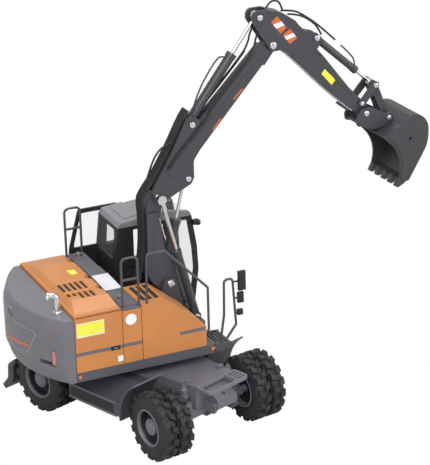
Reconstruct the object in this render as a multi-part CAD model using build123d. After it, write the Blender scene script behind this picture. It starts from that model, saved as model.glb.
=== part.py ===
from build123d import *
import math
import os

os.makedirs("parts", exist_ok=True)

# Scale model of a wheeled excavator. Millimetres, +X forward over the arm, +Y left, +Z up.
# The origin is on the floor, on the axis about which the upper carriage slews.

# Undercarriage, in its own frame: u forward, v left, turned by SLEW below the upper carriage
SLEW = 69.0
TYRE_RADIUS = 11.1
TYRE_WIDTH = 5.1
TWIN_GAP = 0.6
TYRE_SIDES = 24
LUGS_PER_ROW = 12
LUG_DEPTH = 1.0
RIM_RADIUS = 6.1
WHEEL_HALF_TRACK = 25.0
AXLE_HEIGHT = TYRE_RADIUS
WHEEL_BASE = 54.0
REAR_AXLE_U = -18.5
FRONT_AXLE_U = REAR_AXLE_U + WHEEL_BASE
KINGPIN_V = 12.0
STEER_AT_REST = -10.7
TWIN_WIDTH = 2 * TYRE_WIDTH + TWIN_GAP
STUB_RADIUS = 1.2
PIN_RADIUS = 0.8
PIN_FIT = 0.06
CHASSIS_REAR = -29.3
CHASSIS_TOP = 20.8
CHASSIS_BOTTOM = 13.0
RING_RADIUS = 10.5
RING_GAP = 0.15
PLATFORM_BOTTOM = 24.2
PLATFORM_TOP = 27.4
RING_SPLIT = 22.4
MUDGUARD_RADIUS = 14.5
MUDGUARD_SHEET = 0.6
MUDGUARD_INNER = 11.6
MUDGUARD_OUTER = 24.9
SIDE_BOX_REAR = -4.0
SIDE_BOX_OUT = 24.0
SIDE_BOX_IN = 13.1
SIDE_BOX_LOW = 9.8
SIDE_BOX_LIP = 14.8
SIDE_BOX_TOP = 20.3
STEP_FRONT = 45.4
STEP_REAR = 38.5
STEP_HALF = 8.8
NOSE_HALF = 4.2
TOW_BORE = 0.6
TOW_U = 42.2
BLADE_PIVOT = (-27.0, 14.0)
BLADE_HALF = 24.5

# Upper carriage
BODY_HALF = 25.0
DECK_HEIGHT = 46.0
BODY_REAR = -28.0
BODY_FRONT = 16.3
SILL_FRONT = 19.5
TAIL_RADIUS = 41.8
TAIL_REACH = -40.3
WALKWAY_REAR = -12.2
WALKWAY_FRONT = -5.7
SEAM = 0.2
BOX_INNER = -9.1
SLOT_DEPTH = 0.5
SLOT_WIDTH = 1.1
HOOD_RISE = 2.2
HOOD_FRONT = -12.6
RAIL_RADIUS = 0.42
RAIL_SIDE = 24.5
LAMP_SIDE = 21.6
EXHAUST_AT = (-30.6, -17.2)
EXHAUST_RADIUS = 0.85

# Cab
CAB_REAR = -1.0
CAB_INNER = 8.2
CAB_OUTER = 25.2
CAB_ROOF = 60.5
CAB_WALL = 0.9
ROOF_BASE = 58.9
PANE = 0.35
DOOR_HINGE_X = 8.6
DOOR_HINGE_Y = 25.7
DOOR_THICK = 0.8
DOOR_OFFSET = 0.75
DOOR_GAP = 0.25
HINGE_PIN = 0.22
HINGE_EYE = 0.45

# Arm pivots, as (x, z) on the arm's middle plane
FOOT = (13.6, 41.4)
ELBOW = (10.8, 71.5)
ADJUST_EYE = (21.3, 76.1)
ADJUST_BASE = (13.8, 47.2)
HOIST_BASE = (21.7, 29.0)
DIPPER_BASE = (23.2, 94.0)
BOOM_END = (52.3, 116.0)
DIPPER_EYE = (47.7, 125.7)
BUCKET_BASE = (68.5, 116.0)
DIPPER_TIP = (85.6, 88.3)
ROCKER_PIN = (84.4, 91.7)
ROCKER_END = (89.5, 97.2)
LINK_END = (94.2, 85.6)

# Arm widths, half each, from the middle plane
BOOM_HALF = 2.9
DIPPER_HALF = 2.8
FORK_INNER = 1.9
TONGUE_HALF = 1.7
HOIST_OFFSET = 4.75
ROD_EYE_HALF = 1.1
LINK_INNER = 1.35
LINK_OUTER = 2.2
ROCKER_INNER = 2.95
ROCKER_OUTER = 3.55
COUPLER_INNER = 3.75
COUPLER_OUTER = 4.45
BUCKET_HALF = 9.8
BUCKET_SHEET = 0.8
DOUBLER = 0.22
HOSE_RADIUS = 0.45
THIN_HOSE_RADIUS = 0.28


def frame_point(plane, across, up, off=0.0):
    """Point at (across, up) on a named plane, off from it along its normal."""
    if plane == "xz":
        return Vector(across, off, up)
    if plane == "xy":
        return Vector(across, up, off)
    return Vector(off, across, up)


def outline(rows, plane="xz", off=0.0):
    """Face inside a closed outline whose rows are (across, up, corner radius)."""
    corners = [frame_point(plane, row[0], row[1], off) for row in rows]
    stops = []
    for index, row in enumerate(rows):
        corner = corners[index]
        back = (corners[index - 1] - corner).normalized()
        ahead = (corners[(index + 1) % len(rows)] - corner).normalized()
        radius = row[2] if len(row) > 2 else 0.0
        if radius <= 0:
            stops.append((corner, None, corner))
            continue
        half = math.acos(max(-1.0, min(1.0, back.dot(ahead)))) / 2
        run = radius / math.tan(half)
        middle = corner + (back + ahead).normalized() * (radius / math.sin(half) - radius)
        stops.append((corner + back * run, middle, corner + ahead * run))
    edges = []
    for index, (start, middle, stop) in enumerate(stops):
        if middle is not None:
            edges.append(ThreePointArc(start, middle, stop))
        following = stops[(index + 1) % len(stops)][0]
        if (following - stop).length > 1e-5:
            edges.append(Line(stop, following))
    return make_face(edges)


def slab(rows, low, high, plane="xz"):
    """Outline drawn out along its plane's normal from low to high."""
    normal = frame_point(plane, 0, 0, 1)
    return extrude(outline(rows, plane, low), amount=high - low, dir=normal)


def mirrored(shape, plane=Plane.XZ):
    """Shape together with its mirror image."""
    return shape + mirror(shape, about=plane)


def pair(rows, inner, outer, plane="xz"):
    """Two equal plates, inner to outer on each side of the middle plane."""
    plate = slab(rows, inner, outer, plane)
    return mirrored(plate)


def round_bar(start, stop, radius):
    """Straight round bar between two points."""
    start = Vector(*start)
    stop = Vector(*stop)
    run = stop - start
    plane = Plane(origin=start, z_dir=run)
    return extrude(plane * Circle(radius), amount=run.length, dir=run)


def cross_pin(at, low, high, radius):
    """Round bar across the arm at the pivot (x, z), from y low to y high."""
    return round_bar((at[0], low, at[1]), (at[0], high, at[1]), radius)


def stub_pins(at, inner, outer, radius):
    """Two short round bars across the arm at the pivot (x, z), one on each side."""
    return mirrored(cross_pin(at, inner, outer, radius))


def brick(x0, x1, y0, y1, z0, z1):
    """Box between two corners."""
    return Pos((x0 + x1) / 2, (y0 + y1) / 2, (z0 + z1) / 2) * Box(x1 - x0, y1 - y0, z1 - z0)


def under(shape):
    """Turn a piece drawn in the undercarriage's frame to where it stands."""
    return Rot(0, 0, -SLEW) * shape


def tube(points, bend, radius, sides=8):
    """Slim tube of many-sided section along straight runs joined by arcs of one radius."""
    path = FilletPolyline(*points, radius=bend)
    section = Plane(origin=path @ 0, z_dir=path % 0) * RegularPolygon(radius, sides)
    return sweep(section, path=path)


def hose(points, radius, sides=6):
    """Hose along straight runs joined by arcs as large as the two runs at each corner allow."""
    corners = [Vector(*point) for point in points]
    bends = []
    for index in range(1, len(corners) - 1):
        back = corners[index] - corners[index - 1]
        ahead = corners[index + 1] - corners[index]
        half_turn = math.radians(back.get_angle(ahead)) / 2
        bends.append(0.45 * min(back.length, ahead.length) / math.tan(half_turn))
    least = min(bends)
    print("hose: least bend radius", round(least, 2), "mm, in diameters", round(least / (2 * radius), 1))
    return tube(points, bends, radius, sides)


nodes = {}


# Undercarriage: frame, axles, boxes and mudguards
frame_rows = [
    # u, v, corner radius
    (CHASSIS_REAR, -8.0, 1.0), (-12, -8.0, 2.0), (-7, -SIDE_BOX_IN, 1.0), (18, -SIDE_BOX_IN, 1.0),
    (24, -9.5, 2.0), (STEP_REAR, -8.0, 1.0), (STEP_REAR, 8.0, 1.0), (24, 9.5, 2.0),
    (18, SIDE_BOX_IN, 1.0), (-7, SIDE_BOX_IN, 1.0), (-12, 8.0, 2.0), (CHASSIS_REAR, 8.0, 1.0),
]
frame = slab(frame_rows, CHASSIS_BOTTOM, CHASSIS_TOP, "xy")
nose_rows = [(STEP_REAR - 1, CHASSIS_TOP - 0.8), (STEP_FRONT - 1.6, CHASSIS_TOP - 4.5),
             (STEP_FRONT - 1.6, 13.2), (STEP_REAR - 1, CHASSIS_BOTTOM)]
frame += slab(nose_rows, -NOSE_HALF, NOSE_HALF)
frame -= Pos(TOW_U, 0, 16) * Cylinder(TOW_BORE, 12)
ring_height = RING_SPLIT - RING_GAP - CHASSIS_TOP
frame += Pos(0, 0, CHASSIS_TOP + ring_height / 2) * Cylinder(RING_RADIUS + 1.0, ring_height)
blade_ear_rows = [(BLADE_PIVOT[0] - 1.8, BLADE_PIVOT[1] + 0.2, 0.8), (BLADE_PIVOT[0] - 1.8,
        BLADE_PIVOT[1] - 1.9, 0.8),
                  (BLADE_PIVOT[0] + 2.4, BLADE_PIVOT[1] - 1.9, 0.5), (BLADE_PIVOT[0] + 2.4,
                          BLADE_PIVOT[1] + 0.2)]
frame += slab(blade_ear_rows, -7.9, 7.9)
frame += stub_pins(BLADE_PIVOT, 7.9, 11.0, PIN_RADIUS)
lock_at = (33.9, 7.2)
lock_bars = [
    # radius, z low, z high
    (1.1, CHASSIS_TOP - 0.1, CHASSIS_TOP + 0.9), (1.2, CHASSIS_BOTTOM - 0.15, CHASSIS_BOTTOM + 0.1),
]
for radius, low, high in lock_bars:
    lock = Pos(lock_at[0], lock_at[1], (low + high) / 2) * Cylinder(radius, high - low)
    frame += mirrored(lock)
lug_rows = [(STEP_REAR - 0.5, 15.4, 0.6), (STEP_FRONT - 1.9, 15.0, 0.8), (STEP_FRONT - 2.4, 11.6, 0.8),
            (STEP_REAR - 0.5, 12.2, 0.6)]
frame += pair(lug_rows, NOSE_HALF - 0.1, NOSE_HALF + 0.8)
nodes["chassis_frame"] = under(frame)

guard_outer = MUDGUARD_RADIUS + MUDGUARD_SHEET
guard_middle = (MUDGUARD_INNER + MUDGUARD_OUTER) / 2
guard_width = MUDGUARD_OUTER - MUDGUARD_INNER
guard_place = Pos(FRONT_AXLE_U, guard_middle, AXLE_HEIGHT) * Rot(90, 0, 0)
box_rows = [(SIDE_BOX_OUT, SIDE_BOX_LOW, 0.6), (SIDE_BOX_OUT, SIDE_BOX_LIP, 0.5), (17.0, SIDE_BOX_TOP, 0.8),
            (SIDE_BOX_IN, SIDE_BOX_TOP), (SIDE_BOX_IN, SIDE_BOX_LOW, 0.8)]
boxes = slab(box_rows, SIDE_BOX_REAR, FRONT_AXLE_U - guard_outer + 1.4, "yz")
boxes -= guard_place * Cylinder(guard_outer, 40)
nodes["side_boxes"] = under(mirrored(boxes))

guard_ring = Cylinder(guard_outer, guard_width) - Cylinder(MUDGUARD_RADIUS, guard_width + 1)
guard_ring = guard_place * guard_ring
guard_low = math.radians(186)
guard_high = math.radians(124)
wedge_reach = 30.0
wedge_rows = [(FRONT_AXLE_U, AXLE_HEIGHT),
              (FRONT_AXLE_U + wedge_reach * math.cos(guard_high),
               AXLE_HEIGHT + wedge_reach * math.sin(guard_high)),
              (FRONT_AXLE_U + wedge_reach * math.cos(guard_low),
               AXLE_HEIGHT + wedge_reach * math.sin(guard_low))]
guard = guard_ring & slab(wedge_rows, MUDGUARD_INNER - 1, MUDGUARD_OUTER + 1)
nodes["front_mudguards"] = under(mirrored(guard))

step_outer = [(STEP_REAR + 0.1, -STEP_HALF, 0.8), (STEP_FRONT, -STEP_HALF, 1.8), (STEP_FRONT, STEP_HALF, 1.8),
              (STEP_REAR + 0.1, STEP_HALF, 0.8)]
step_inner = [(STEP_REAR + 1.0, -STEP_HALF + 0.9, 0.4), (STEP_FRONT - 0.9, -STEP_HALF + 0.9, 1.0),
              (STEP_FRONT - 0.9, STEP_HALF - 0.9, 1.0), (STEP_REAR + 1.0, STEP_HALF - 0.9, 0.4)]
step = slab(step_outer, CHASSIS_TOP - 0.6, CHASSIS_TOP + 0.4, "xy")
step -= slab(step_inner, CHASSIS_TOP - 1, CHASSIS_TOP + 1, "xy")
step += brick(STEP_REAR + 0.6, STEP_FRONT - 0.6, NOSE_HALF - 0.6, NOSE_HALF + 0.1, CHASSIS_TOP - 0.6,
              CHASSIS_TOP + 0.4)
step_bars = 3
for index in range(step_bars):
    bar_u = STEP_REAR + 1.0 + (index + 1) * (STEP_FRONT - STEP_REAR - 1.9) / (step_bars + 1)
    step += brick(bar_u - 0.25, bar_u + 0.25, NOSE_HALF, STEP_HALF - 0.6, CHASSIS_TOP - 0.5,
                  CHASSIS_TOP + 0.3)
nodes["front_step"] = under(step)

fork_top = AXLE_HEIGHT + 3.2
fork_low = AXLE_HEIGHT - 3.2
fork_plate = 1.2


def front_axle_half():
    """One half of the steered axle, with the fork and kingpin at its end."""
    beam_rows = [(FRONT_AXLE_U - 1.7, AXLE_HEIGHT - 1.7, 0.5), (FRONT_AXLE_U + 1.7, AXLE_HEIGHT - 1.7, 0.5),
                 (FRONT_AXLE_U + 1.7, AXLE_HEIGHT + 1.7, 0.5), (FRONT_AXLE_U - 1.7, AXLE_HEIGHT + 1.7, 0.5)]
    half = slab(beam_rows, 0, KINGPIN_V - 3.0)
    half += brick(FRONT_AXLE_U - 1.6, FRONT_AXLE_U + 1.6, KINGPIN_V - 3.2, KINGPIN_V - 1.9,
                  fork_low - fork_plate,
                  fork_top + fork_plate)
    for low, high in ((fork_low - fork_plate, fork_low), (fork_top, fork_top + fork_plate)):
        half += brick(FRONT_AXLE_U - 1.6, FRONT_AXLE_U + 1.6, KINGPIN_V - 3.2, KINGPIN_V, low, high)
        half += Pos(FRONT_AXLE_U, KINGPIN_V, (low + high) / 2) * Cylinder(1.6, high - low)
    half += Pos(FRONT_AXLE_U, KINGPIN_V, AXLE_HEIGHT) * Cylinder(PIN_RADIUS,
            fork_top - fork_low + 2 * fork_plate + 0.8)
    return half


front_axle = mirrored(front_axle_half())
drum_rows = [(-3.0, -1.4), (-1.4, -3.0), (1.4, -3.0), (3.0, -1.4), (3.0, 1.4), (1.4, 3.0), (-1.4, 3.0),
             (-3.0, 1.4)]
axle_drum = slab(drum_rows, -2.4, 2.4)
front_axle += Pos(FRONT_AXLE_U, 0, AXLE_HEIGHT) * axle_drum
front_axle += brick(FRONT_AXLE_U - 1.5, FRONT_AXLE_U + 1.5, -2.5, 2.5, AXLE_HEIGHT, CHASSIS_BOTTOM)
front_axle -= brick(FRONT_AXLE_U - 5, FRONT_AXLE_U + 5, -6, 6, CHASSIS_BOTTOM, 20)
nodes["front_axle"] = under(front_axle)

rear_axle = round_bar((REAR_AXLE_U, -18.0, AXLE_HEIGHT), (REAR_AXLE_U, 18.0, AXLE_HEIGHT), STUB_RADIUS)
rear_axle += round_bar((REAR_AXLE_U, -12.6, AXLE_HEIGHT), (REAR_AXLE_U, 12.6, AXLE_HEIGHT), 1.8)
rear_axle += Pos(REAR_AXLE_U, 0, AXLE_HEIGHT) * axle_drum
rear_axle += brick(REAR_AXLE_U - 1.6, REAR_AXLE_U + 1.6, -7.0, 7.0, AXLE_HEIGHT, CHASSIS_BOTTOM)
rear_axle -= brick(REAR_AXLE_U - 5, REAR_AXLE_U + 5, -8, 8, CHASSIS_BOTTOM, 20)
nodes["rear_axle"] = under(rear_axle)


def knuckle():
    """Left steering knuckle, straight ahead: hub between the fork plates and the stub axle."""
    hub = Cylinder(1.5, fork_top - fork_low - 0.3)
    hub += round_bar((0, 0, 0), (0, 2.0, 0), 1.9)
    hub += round_bar((0, 0, 0), (0, 6.6, 0), STUB_RADIUS)
    hub -= Cylinder(PIN_RADIUS + PIN_FIT, 10)
    return hub


def tyre_section(apothem, at):
    """Many-sided section of a tyre in the wheel's frame, square to the axle at y = at."""
    plane = Plane(origin=(0, at, 0), x_dir=(1, 0, 0), z_dir=(0, 1, 0))
    return plane * RegularPolygon(apothem, TYRE_SIDES, major_radius=False, rotation=180 / TYRE_SIDES)


def tread_lug(edge, middle):
    """Skewed tread block over one facet of the carcass, from the tyre's shoulder to near its middle."""
    rows = [(-1.1, edge), (0.6, edge), (1.15, middle), (-0.2, middle)]
    return slab(rows, TYRE_RADIUS - LUG_DEPTH - 1.0, TYRE_RADIUS, "xy")


def tyre(outer):
    """One tyre in the wheel's frame, its outer side at y = outer: carcass and two rows of lugs."""
    inner = outer - TYRE_WIDTH
    root = TYRE_RADIUS - LUG_DEPTH
    bead = RIM_RADIUS + 1.4
    shoulder = 0.55
    sections = [
        # radius, y
        (bead, outer), (root, outer - shoulder), (root, inner + shoulder), (bead, inner),
    ]
    carcass = loft([tyre_section(radius, at) for radius, at in sections], ruled=True)
    carcass -= extrude(tyre_section(RIM_RADIUS + 0.01, inner - 1), amount=TYRE_WIDTH + 2, dir=(0, 1, 0))
    pitch = 360 / LUGS_PER_ROW
    middle = outer - TYRE_WIDTH / 2
    lug_inset = 0.35
    lug_gap = 0.2
    lugs = []
    for index in range(LUGS_PER_ROW):
        lugs.append(Rot(0, index * pitch, 0) * tread_lug(outer - lug_inset, middle + lug_gap))
        lugs.append(Rot(0, (index + 0.5) * pitch, 0) * tread_lug(inner + lug_inset, middle - lug_gap))
    return carcass.fuse(*lugs)


def twin_tyres():
    """Twin tyres in the wheel's frame: axis along y, outer face at y = 0, inward negative."""
    outer_tyre = tyre(0.0)
    return Compound(children=[outer_tyre, Pos(0, -TYRE_WIDTH - TWIN_GAP, 0) * outer_tyre])


def twin_rim():
    """Rim of a twin wheel in the wheel's frame, bored for the stub axle from its inner side."""
    inner = -TWIN_WIDTH
    lip = RIM_RADIUS - 0.75
    bore = STUB_RADIUS + PIN_FIT
    rows = [(0, -1.0), (2.5, -1.0), (2.7, -2.6), (lip - 0.6, -3.2), (lip, -0.3), (RIM_RADIUS, -0.3),
            (RIM_RADIUS, inner + 0.3), (lip, inner + 0.3), (3.0, inner + 3.0),
            (bore, inner + 3.0), (bore, -3.6), (0, -3.6)]
    return revolve(outline(rows, "xy"), axis=Axis.Y)


wheel_places = [
    # name, axle u, side (left is 1), steered
    ("front_right", FRONT_AXLE_U, -1, True),
    ("front_left", FRONT_AXLE_U, 1, True),
    ("rear_right", REAR_AXLE_U, -1, False),
    ("rear_left", REAR_AXLE_U, 1, False),
]
tyre_pair = twin_tyres()
rim = twin_rim()
for name, axle_u, side, steered in wheel_places:
    turn = 0 if side > 0 else 180
    steer = STEER_AT_REST if steered else 0
    place = Pos(axle_u, side * KINGPIN_V, AXLE_HEIGHT) * Rot(0, 0, steer + turn)
    reach = Pos(0, WHEEL_HALF_TRACK - KINGPIN_V, 0)
    nodes["tyres_" + name] = under(place * (reach * tyre_pair))
    nodes["rim_" + name] = under(place * (reach * rim))
    if steered:
        nodes["knuckle_" + name.split("_")[1]] = under(place * knuckle())

# Dozer blade at the rear: a curved shield on two arms
shield_rows = [(-30.6, 14.8), (-34.0, 12.2, 2.5), (-34.4, 7.0, 2.5), (-37.4, 3.6), (-36.0, 2.4),
               (-32.6, 5.6, 2.0),
               (-31.4, 8.0, 2.0), (-31.4, 12.0, 1.5), (-29.9, 14.0)]
blade = slab(shield_rows, -BLADE_HALF, BLADE_HALF)
blade_arm_rows = [(BLADE_PIVOT[0] + 1.5, BLADE_PIVOT[1] + 1.5, 1.4), (-32.0, 13.0), (-32.0, 6.5),
                  (-30.0, 6.5, 1.0),
                  (BLADE_PIVOT[0] + 1.5, BLADE_PIVOT[1] - 1.5, 1.4)]
blade += pair(blade_arm_rows, 8.6, 10.4)
blade -= stub_pins(BLADE_PIVOT, 8.0, 11.5, PIN_RADIUS + PIN_FIT)
nodes["blade"] = under(blade)

# Upper carriage: platform, tail and housings
platform_rows = [(BODY_REAR - 0.1, -BODY_HALF), (SILL_FRONT, -BODY_HALF, 1.0), (SILL_FRONT, BOX_INNER + 0.4),
                 (24.0, BOX_INNER + 1.5, 1.0), (24.0, CAB_INNER - 1.0, 1.0), (27.0, CAB_INNER),
                 (27.0, BODY_HALF, 2.0), (BODY_REAR - 0.1, BODY_HALF)]
platform = slab(platform_rows, PLATFORM_BOTTOM, PLATFORM_TOP - 0.05, "xy")
platform += Pos(0, 0, (RING_SPLIT + PLATFORM_BOTTOM) / 2) * Cylinder(RING_RADIUS,
        PLATFORM_BOTTOM - RING_SPLIT)
nodes["platform"] = platform

tail_centre = TAIL_REACH + TAIL_RADIUS
tail_low = PLATFORM_BOTTOM
tail_high = DECK_HEIGHT - 0.5
tail_profile = [(0, tail_low), (TAIL_RADIUS - 1.3, tail_low, 0.8), (TAIL_RADIUS, tail_low + 4.2, 3.0),
                (TAIL_RADIUS, tail_high - 4.2, 3.0), (TAIL_RADIUS - 1.3, tail_high, 0.8), (0, tail_high)]
tail_disc = Pos(tail_centre, 0, 0) * revolve(outline(tail_profile), axis=Axis.Z)
tail_rows = [(-60, -BODY_HALF), (BODY_REAR - SEAM, -BODY_HALF), (BODY_REAR - SEAM, BODY_HALF),
             (-60, BODY_HALF)]
counterweight = tail_disc & slab(tail_rows, 0, 80, "xy")


def tail_x(side, depth=0.0):
    """x of the tail's curved face at y = side, less a depth."""
    return tail_centre - math.sqrt((TAIL_RADIUS - depth) ** 2 - side ** 2)


lamp_low = 30.2
lamp_high = 34.9
lamp_slot = brick(tail_x(LAMP_SIDE) - 3, tail_x(LAMP_SIDE, 1.4), LAMP_SIDE - 5.6, LAMP_SIDE + 0.8,
                  lamp_low - 0.5, lamp_low + 0.9)
lamp_slot += brick(tail_x(LAMP_SIDE) - 3, tail_x(LAMP_SIDE, 1.4), LAMP_SIDE - 0.8, LAMP_SIDE + 0.8,
                   lamp_low - 0.5, lamp_high + 0.4)
counterweight -= mirrored(lamp_slot)
lamp = brick(tail_x(LAMP_SIDE) - 3, tail_x(LAMP_SIDE, 1.4), LAMP_SIDE - 0.55, LAMP_SIDE + 0.55, lamp_low,
             lamp_high)
lamp &= Pos(tail_centre, 0, 40) * Cylinder(TAIL_RADIUS - 0.1, 40)
nodes["tail_lamps"] = mirrored(lamp)
eye_height = 41.4
eye_x = tail_x(0)
counterweight += round_bar((eye_x - 0.3, 0, eye_height), (eye_x + 3, 0, eye_height), 1.6)
counterweight -= round_bar((eye_x - 2, 0, eye_height), (eye_x + 0.7, 0, eye_height), 1.0)
nodes["counterweight"] = counterweight

exhaust_bend = [(EXHAUST_AT[0], EXHAUST_AT[1], tail_high - 0.1), (EXHAUST_AT[0], EXHAUST_AT[1],
        tail_high + 5.0),
                (EXHAUST_AT[0] - 3.0, EXHAUST_AT[1] + 0.6, tail_high + 6.0)]
exhaust = tube(exhaust_bend, 1.6, EXHAUST_RADIUS, 16)
exhaust += Pos(EXHAUST_AT[0], EXHAUST_AT[1], tail_high + 0.3) * Cylinder(EXHAUST_RADIUS + 0.6, 0.7)
mouth = Vector(*exhaust_bend[2])
mouth_run = (mouth - Vector(*exhaust_bend[1])).normalized()
exhaust += round_bar(mouth - mouth_run * 1.1, mouth, EXHAUST_RADIUS + 0.25)
exhaust -= round_bar(mouth - mouth_run * 1.5, mouth + mouth_run, EXHAUST_RADIUS - 0.2)
nodes["exhaust"] = exhaust - counterweight

side_rows = [(BODY_REAR, PLATFORM_TOP), (WALKWAY_REAR - SEAM / 2, PLATFORM_TOP),
             (WALKWAY_REAR - SEAM / 2, DECK_HEIGHT), (BODY_REAR, DECK_HEIGHT)]
centre_rows = [(WALKWAY_REAR + SEAM / 2, PLATFORM_TOP), (WALKWAY_FRONT - SEAM / 2, PLATFORM_TOP),
               (WALKWAY_FRONT - SEAM / 2, DECK_HEIGHT - 0.8), (WALKWAY_REAR + SEAM / 2, DECK_HEIGHT - 0.8)]
nodes["engine_housing"] = slab(side_rows, -BODY_HALF, BODY_HALF)
nodes["centre_housing"] = slab(centre_rows, -BODY_HALF, BODY_HALF)
walkway = brick(WALKWAY_REAR + SEAM / 2, WALKWAY_FRONT - SEAM / 2, -BODY_HALF + 0.1, BODY_HALF - 0.1,
                DECK_HEIGHT - 0.8, DECK_HEIGHT)
walkway_plates = [
    # y low, y high, height at low, height at high
    (-23.8, -10.5, 0.3, 0.3), (-10.2, 1.8, 0.45, 1.0), (2.2, 9.0, 0.8, 0.9), (9.4, 23.8, 0.6, 0.6),
]
for low, high, rise_low, rise_high in walkway_plates:
    plate_rows = [(low, DECK_HEIGHT - 0.1), (high, DECK_HEIGHT - 0.1), (high, DECK_HEIGHT + rise_high),
                  (low, DECK_HEIGHT + rise_low)]
    walkway += slab(plate_rows, WALKWAY_REAR + 0.4, WALKWAY_FRONT - 0.4, "yz")
nodes["walkway"] = walkway
cap_places = [
    # x, y, foot z, radius
    (-9.6, -17.0, DECK_HEIGHT + 0.3, 0.9), (-8.6, 21.4, DECK_HEIGHT + 0.6, 1.2),
]
caps = None
for cap_x, cap_y, cap_foot, cap_radius in cap_places:
    cap = Pos(cap_x, cap_y, cap_foot + 0.35) * Cylinder(cap_radius, 0.7)
    cap += Pos(cap_x, cap_y, cap_foot + 0.8) * Cylinder(cap_radius * 0.6, 0.4)
    caps = cap if caps is None else caps + cap
nodes["filler_caps"] = caps
front_box_rows = [(WALKWAY_FRONT + SEAM / 2, PLATFORM_TOP), (BODY_FRONT, PLATFORM_TOP, 0.5),
                  (BODY_FRONT, 34.3, 1.0),
                  (14.0, 36.9, 1.5), (2.8, DECK_HEIGHT, 1.5), (WALKWAY_FRONT + SEAM / 2, DECK_HEIGHT)]
front_box = slab(front_box_rows, -BODY_HALF, BOX_INNER)
for slot_x in (-3.3, -1.1, 1.1):
    front_box -= brick(slot_x - SLOT_WIDTH / 2, slot_x + SLOT_WIDTH / 2, -21.6, -10.6,
                       DECK_HEIGHT - SLOT_DEPTH, DECK_HEIGHT + 1)
nodes["front_box"] = front_box

hood_rows = [(-BODY_HALF + 0.7, DECK_HEIGHT), (-16.0, DECK_HEIGHT + HOOD_RISE, 2.0),
             (16.0, DECK_HEIGHT + HOOD_RISE, 2.0), (BODY_HALF - 0.7, DECK_HEIGHT)]
hood = slab(hood_rows, BODY_REAR + 0.5, HOOD_FRONT, "yz")
hood_side_rows = [(BODY_REAR + 0.5, DECK_HEIGHT), (BODY_REAR + 2.6, DECK_HEIGHT + HOOD_RISE, 1.0),
                  (HOOD_FRONT - 0.6, DECK_HEIGHT + HOOD_RISE, 0.6), (HOOD_FRONT, DECK_HEIGHT)]
hood &= slab(hood_side_rows, -BODY_HALF, BODY_HALF)
hood += brick(BODY_REAR + 0.1, HOOD_FRONT, -BODY_HALF + 0.3, BODY_HALF - 0.3, DECK_HEIGHT, DECK_HEIGHT + 0.4)
hood_top = DECK_HEIGHT + HOOD_RISE
louvres = [
    # x, y low, y high
    (-24.8, -8.9, -2.3), (-22.95, -8.9, -2.3), (-21.1, -8.9, -2.3), (-19.25, -8.9, -2.3), (-17.4, -8.9, -2.3),
    (-24.8, -13.2, -10.7), (-22.95, -13.2, -10.7), (-21.1, -15.7, -10.7), (-19.25, -15.7, -10.7),
    (-17.4, -15.7, -10.7),
]
for slot_x, slot_low, slot_high in louvres:
    hood -= brick(slot_x - SLOT_WIDTH / 2, slot_x + SLOT_WIDTH / 2, slot_low, slot_high,
                  hood_top - SLOT_DEPTH, hood_top + 1)
for notch_y in (-10.0, -0.5, 15.0):
    hood -= Pos(HOOD_FRONT, notch_y, DECK_HEIGHT + 1.9) * Cylinder(2.2, 3.0)
nodes["engine_hood"] = hood
reflector_places = [
    # x, z
    (18.4, 25.9), (BODY_REAR + 0.9, 25.9),
]
reflectors = None
for spot_x, spot_z in reflector_places:
    spot = cross_pin((spot_x, spot_z), BODY_HALF, BODY_HALF + 0.25, 0.6)
    spot += cross_pin((spot_x, spot_z), -BODY_HALF - 0.25, -BODY_HALF, 0.6)
    reflectors = spot if reflectors is None else reflectors + spot
nodes["reflectors"] = reflectors

# Guard rails along the walkway and down the front box
rail_top = 62.4
rail_cross = 55.2


def deck_rail(side):
    """Hooped rail beside the walkway, with one bar across."""
    rear = WALKWAY_REAR + 0.5
    front = WALKWAY_FRONT - 0.5
    corners = [(rear, side, DECK_HEIGHT), (rear, side, rail_top), (front, side, rail_top), (front, side,
            DECK_HEIGHT)]
    return tube(corners, 1.6, RAIL_RADIUS) + round_bar((rear, side, rail_cross), (front, side, rail_cross),
                                                       RAIL_RADIUS)


nodes["deck_rails"] = deck_rail(-RAIL_SIDE) + deck_rail(RAIL_SIDE)
front_rail_points = [(-3.6, -RAIL_SIDE, DECK_HEIGHT), (-3.1, -RAIL_SIDE, rail_top), (3.0, -RAIL_SIDE,
        rail_top),
                     (17.4, -RAIL_SIDE, 47.2), (17.4, -RAIL_SIDE, 32.6), (BODY_FRONT, -RAIL_SIDE, 31.5)]
nodes["front_rail"] = tube(front_rail_points, 0.75, RAIL_RADIUS) - nodes["front_box"]

# Front steps with their loop rail and mirrors
step_side = -22.0
tread_end = 25.0
tread_bars = 5
front_steps = brick(tread_end - 0.6, tread_end, -24.6, -14.4, 26.2, 26.8)
for index in range(tread_bars):
    bar_x = SILL_FRONT + index * (tread_end - SILL_FRONT) / tread_bars
    front_steps += brick(bar_x, bar_x + 0.55, -24.6, -14.4, 26.2, 26.8)
string_rows = [(SILL_FRONT, 27.2), (SILL_FRONT, 24.3), (22.4, 24.3), (tread_end + 0.2, 26.2),
               (tread_end + 0.2, 26.9)]
for low in (-25.0, -14.8):
    front_steps += slab(string_rows, low, low + 0.6)
loop_points = [(22.6, step_side, 26.6), (24.0, step_side, 35.3), (24.2, step_side, 47.4), (27.2, step_side,
        47.4),
               (28.2, step_side, 31.2), (24.4, step_side, 26.4)]
front_steps += tube(loop_points, 1.2, RAIL_RADIUS)
nodes["front_steps"] = front_steps
mirror_rows = [
    # stay x, x low, x high, z low, z high
    (27.5, 29.2, 31.7, 42.8, 49.4),
    (27.9, 28.9, 30.9, 38.6, 42.2),
]
mirrors = None
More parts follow.
